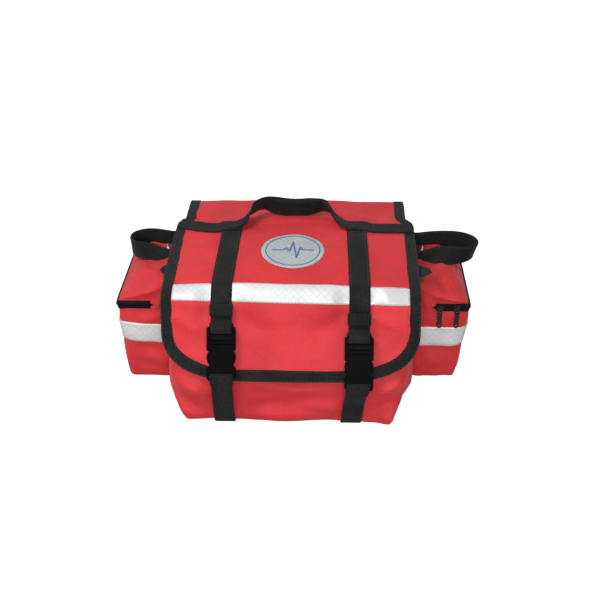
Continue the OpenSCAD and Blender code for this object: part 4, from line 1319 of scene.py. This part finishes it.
    # grab handle: webbing on edge, its flat ends sewn to the side wall
    b = Build()
    keys = HANDLE_START + HANDLE_ARCH[side] + HANDLE_END
    path = spline([(side * x, y, z, t) for x, y, z, t in keys], 2.0)
    tilt = np.radians(path[:, 3])[:, None]
    path = path[:, :3]
    tan = tangents(path)
    flat = np.stack([tan[:, 1], -tan[:, 0], np.zeros(len(tan))], axis=1) * side
    nor = flat * np.cos(tilt) + np.array([0, 0, 1.0]) * np.sin(tilt)
    root = np.clip((np.abs(path[:, 0]) - 156) / 26.0, 0, 1)
    root = np.where(path[:, 1] < 26, 0.5 + 0.5 * root, 1.0)     # gathered at its front end
    b.sweep(path, nor, [band(24.0 * k, 2.0 / k) for k in root])
    across = np.cross(tan, nor)
    for k in (-10.0, 10.0):
        for f in (1.0, -1.0):
            row = path + across * (k * root)[:, None] + nor * (f * (1.05 / root))[:, None]
            b.stitch(row[14:-8], (nor * f)[14:-8], r=0.34)
    b.piece(nm + "_grab_webbing", [WEB, THREAD_BLACK], "black_webbing", nm + "_grab_handle",
            blend=("bag", nm + "_grab_handle", (side * 0.1525, 0.025, 0.155), (side * 0.166, 0.025, 0.155)))

# webbing tabs that hold the rings: folded round the ring's bar, sewn to the side wall
RING_X, RING_Z = 157.0, 146.0
for side, nm in SIDE_NAME.items():
    b = Build()
    keys = [(151.2, 118), (151.4, 128), (151.8, 138), (153.2, 145.0)]
    keys += [(RING_X + 2.7 * math.cos(a), RING_Z + 2.7 * math.sin(a))
             for a in np.radians([175, 130, 85, 40, -5, -50, -95])]
    keys += [(154.6, 138), (153.2, 128), (152.9, 118)]
    path = spline([(side * x, GRAB_Y, z) for x, z in keys], 1.2)
    b.sweep(path, normals_about(path, [0, 1.0, 0]), band(16.0, 1.5))
    for z0, y0, z1, y1 in ((121, -6, 121, 6), (133, -6, 133, 6), (121, -6, 133, 6), (121, 6, 133, -6)):
        b.stitch([(side * (153.9 + 0.5 * t), GRAB_Y + y0 + (y1 - y0) * t, z0 + (z1 - z0) * t)
                  for t in np.linspace(0, 1, 8)], (side, 0, 0), r=0.34)
    b.piece(nm + "_ring_webbing", [WEB, THREAD_BLACK], "black_webbing", nm + "_ring_tab", body="bag")

# ------------------------------------------------------------------ CAD pieces that stay in view
# name ending: material, width of the softened edges
HARD_PARTS = {"_buckle_plug": (PLASTIC, 0.7), "_buckle_arms": (PLASTIC, 0.7), "_buckle_socket": (PLASTIC, 0.7),
              "_slider": (BLACK_METAL, 0.3), "_pull": (BLACK_METAL, 0.3), "_d_ring": (STEEL, 0)}
for name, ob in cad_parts.items():
    for end, (mat, width) in HARD_PARTS.items():
        if name.endswith(end):
            set_materials(ob, mat)
            if width:
                modify(ob, "BEVEL", width=width * MM, segments=2, limit_method="ANGLE",
                       angle_limit=math.radians(40))

# ------------------------------------------------------------------ stage, light, camera
b = Build()
b.verts = [(-6000, -6000, -0.6), (6000, -6000, -0.6), (6000, 6000, -0.6), (-6000, 6000, -0.6)]
b.face([0, 1, 2, 3], [(0, 0), (1, 0), (1, 1), (0, 1)])
k = Look("pale_floor")
pale = k.ramp(k.noise(k.coords(), 3.0), (0.3, (0.50, 0.50, 0.50)), (0.7, (0.52, 0.52, 0.52)))
glow = k.mul(k.node("LightPath").outputs["Is Camera Ray"], 1.8)
b.make("floor", [k.done(color=pale, glow=pale, glow_strength=glow, rough=0.9, spec=0.0)], smooth=False)

scene = bpy.context.scene
scene.world = bpy.data.worlds.new("studio")
scene.world.use_nodes = True
tree = scene.world.node_tree
background = tree.nodes["Background"]
background.inputs[0].default_value = (1.0, 1.0, 1.0, 1.0)
# brighter to the camera than to the bag: 0.46 + 0.62 for camera rays
strength = background.inputs[1]
for op, value in (("ADD", 0.46), ("MULTIPLY", 0.62)):
    n = tree.nodes.new("ShaderNodeMath")
    n.operation = op
    n.inputs[1].default_value = value
    tree.links.new(n.outputs[0], strength)
    strength = n.inputs[0]
tree.links.new(tree.nodes.new("ShaderNodeLightPath").outputs["Is Camera Ray"], strength)

for name, place_at, size, power in (("key", (-0.6, -0.45, 1.4), (0.6, 0.5), 13.5),
                                    ("fill", (0.1, -1.6, 0.80), (0.6, 0.6), 15.5)):
    light = bpy.data.lights.new(name, "AREA")
    light.shape = "RECTANGLE"
    light.size, light.size_y = size
    light.energy = power
    ob = link(name, light)
    ob.location = place_at
    ob.rotation_euler = (Vector((0, 0, 0.1)) - Vector(place_at)).to_track_quat("-Z", "Y").to_euler()

scene.view_settings.view_transform = "Standard"
scene.view_settings.look = "None"

# the camera as fitted to the photo: angles, focal length in pixels of the 600, distance
ELEV, YAW, ROLL = math.radians(29.83), math.radians(-2.03), math.radians(0.49)
FOCAL_PX, DISTANCE, AIM = 1038.2, 1.349, Vector((0.0072, 0.0, 0.0872))
forward = Vector((math.sin(YAW) * math.cos(ELEV), math.cos(YAW) * math.cos(ELEV), -math.sin(ELEV)))
right = Vector((math.cos(YAW), -math.sin(YAW), 0))
up = right.cross(forward)
camera = link("camera", bpy.data.cameras.new("camera"))
camera.data.sensor_width = 36.0
camera.data.lens = 36.0 * FOCAL_PX / 600.0
camera.data.clip_end = 50.0
rolled_right = right * math.cos(ROLL) - up * math.sin(ROLL)
rolled_up = right * math.sin(ROLL) + up * math.cos(ROLL)
turned = Matrix((rolled_right, rolled_up, -forward)).transposed()
camera.matrix_world = Matrix.Translation(AIM - forward * DISTANCE) @ turned.to_4x4()
scene.camera = camera
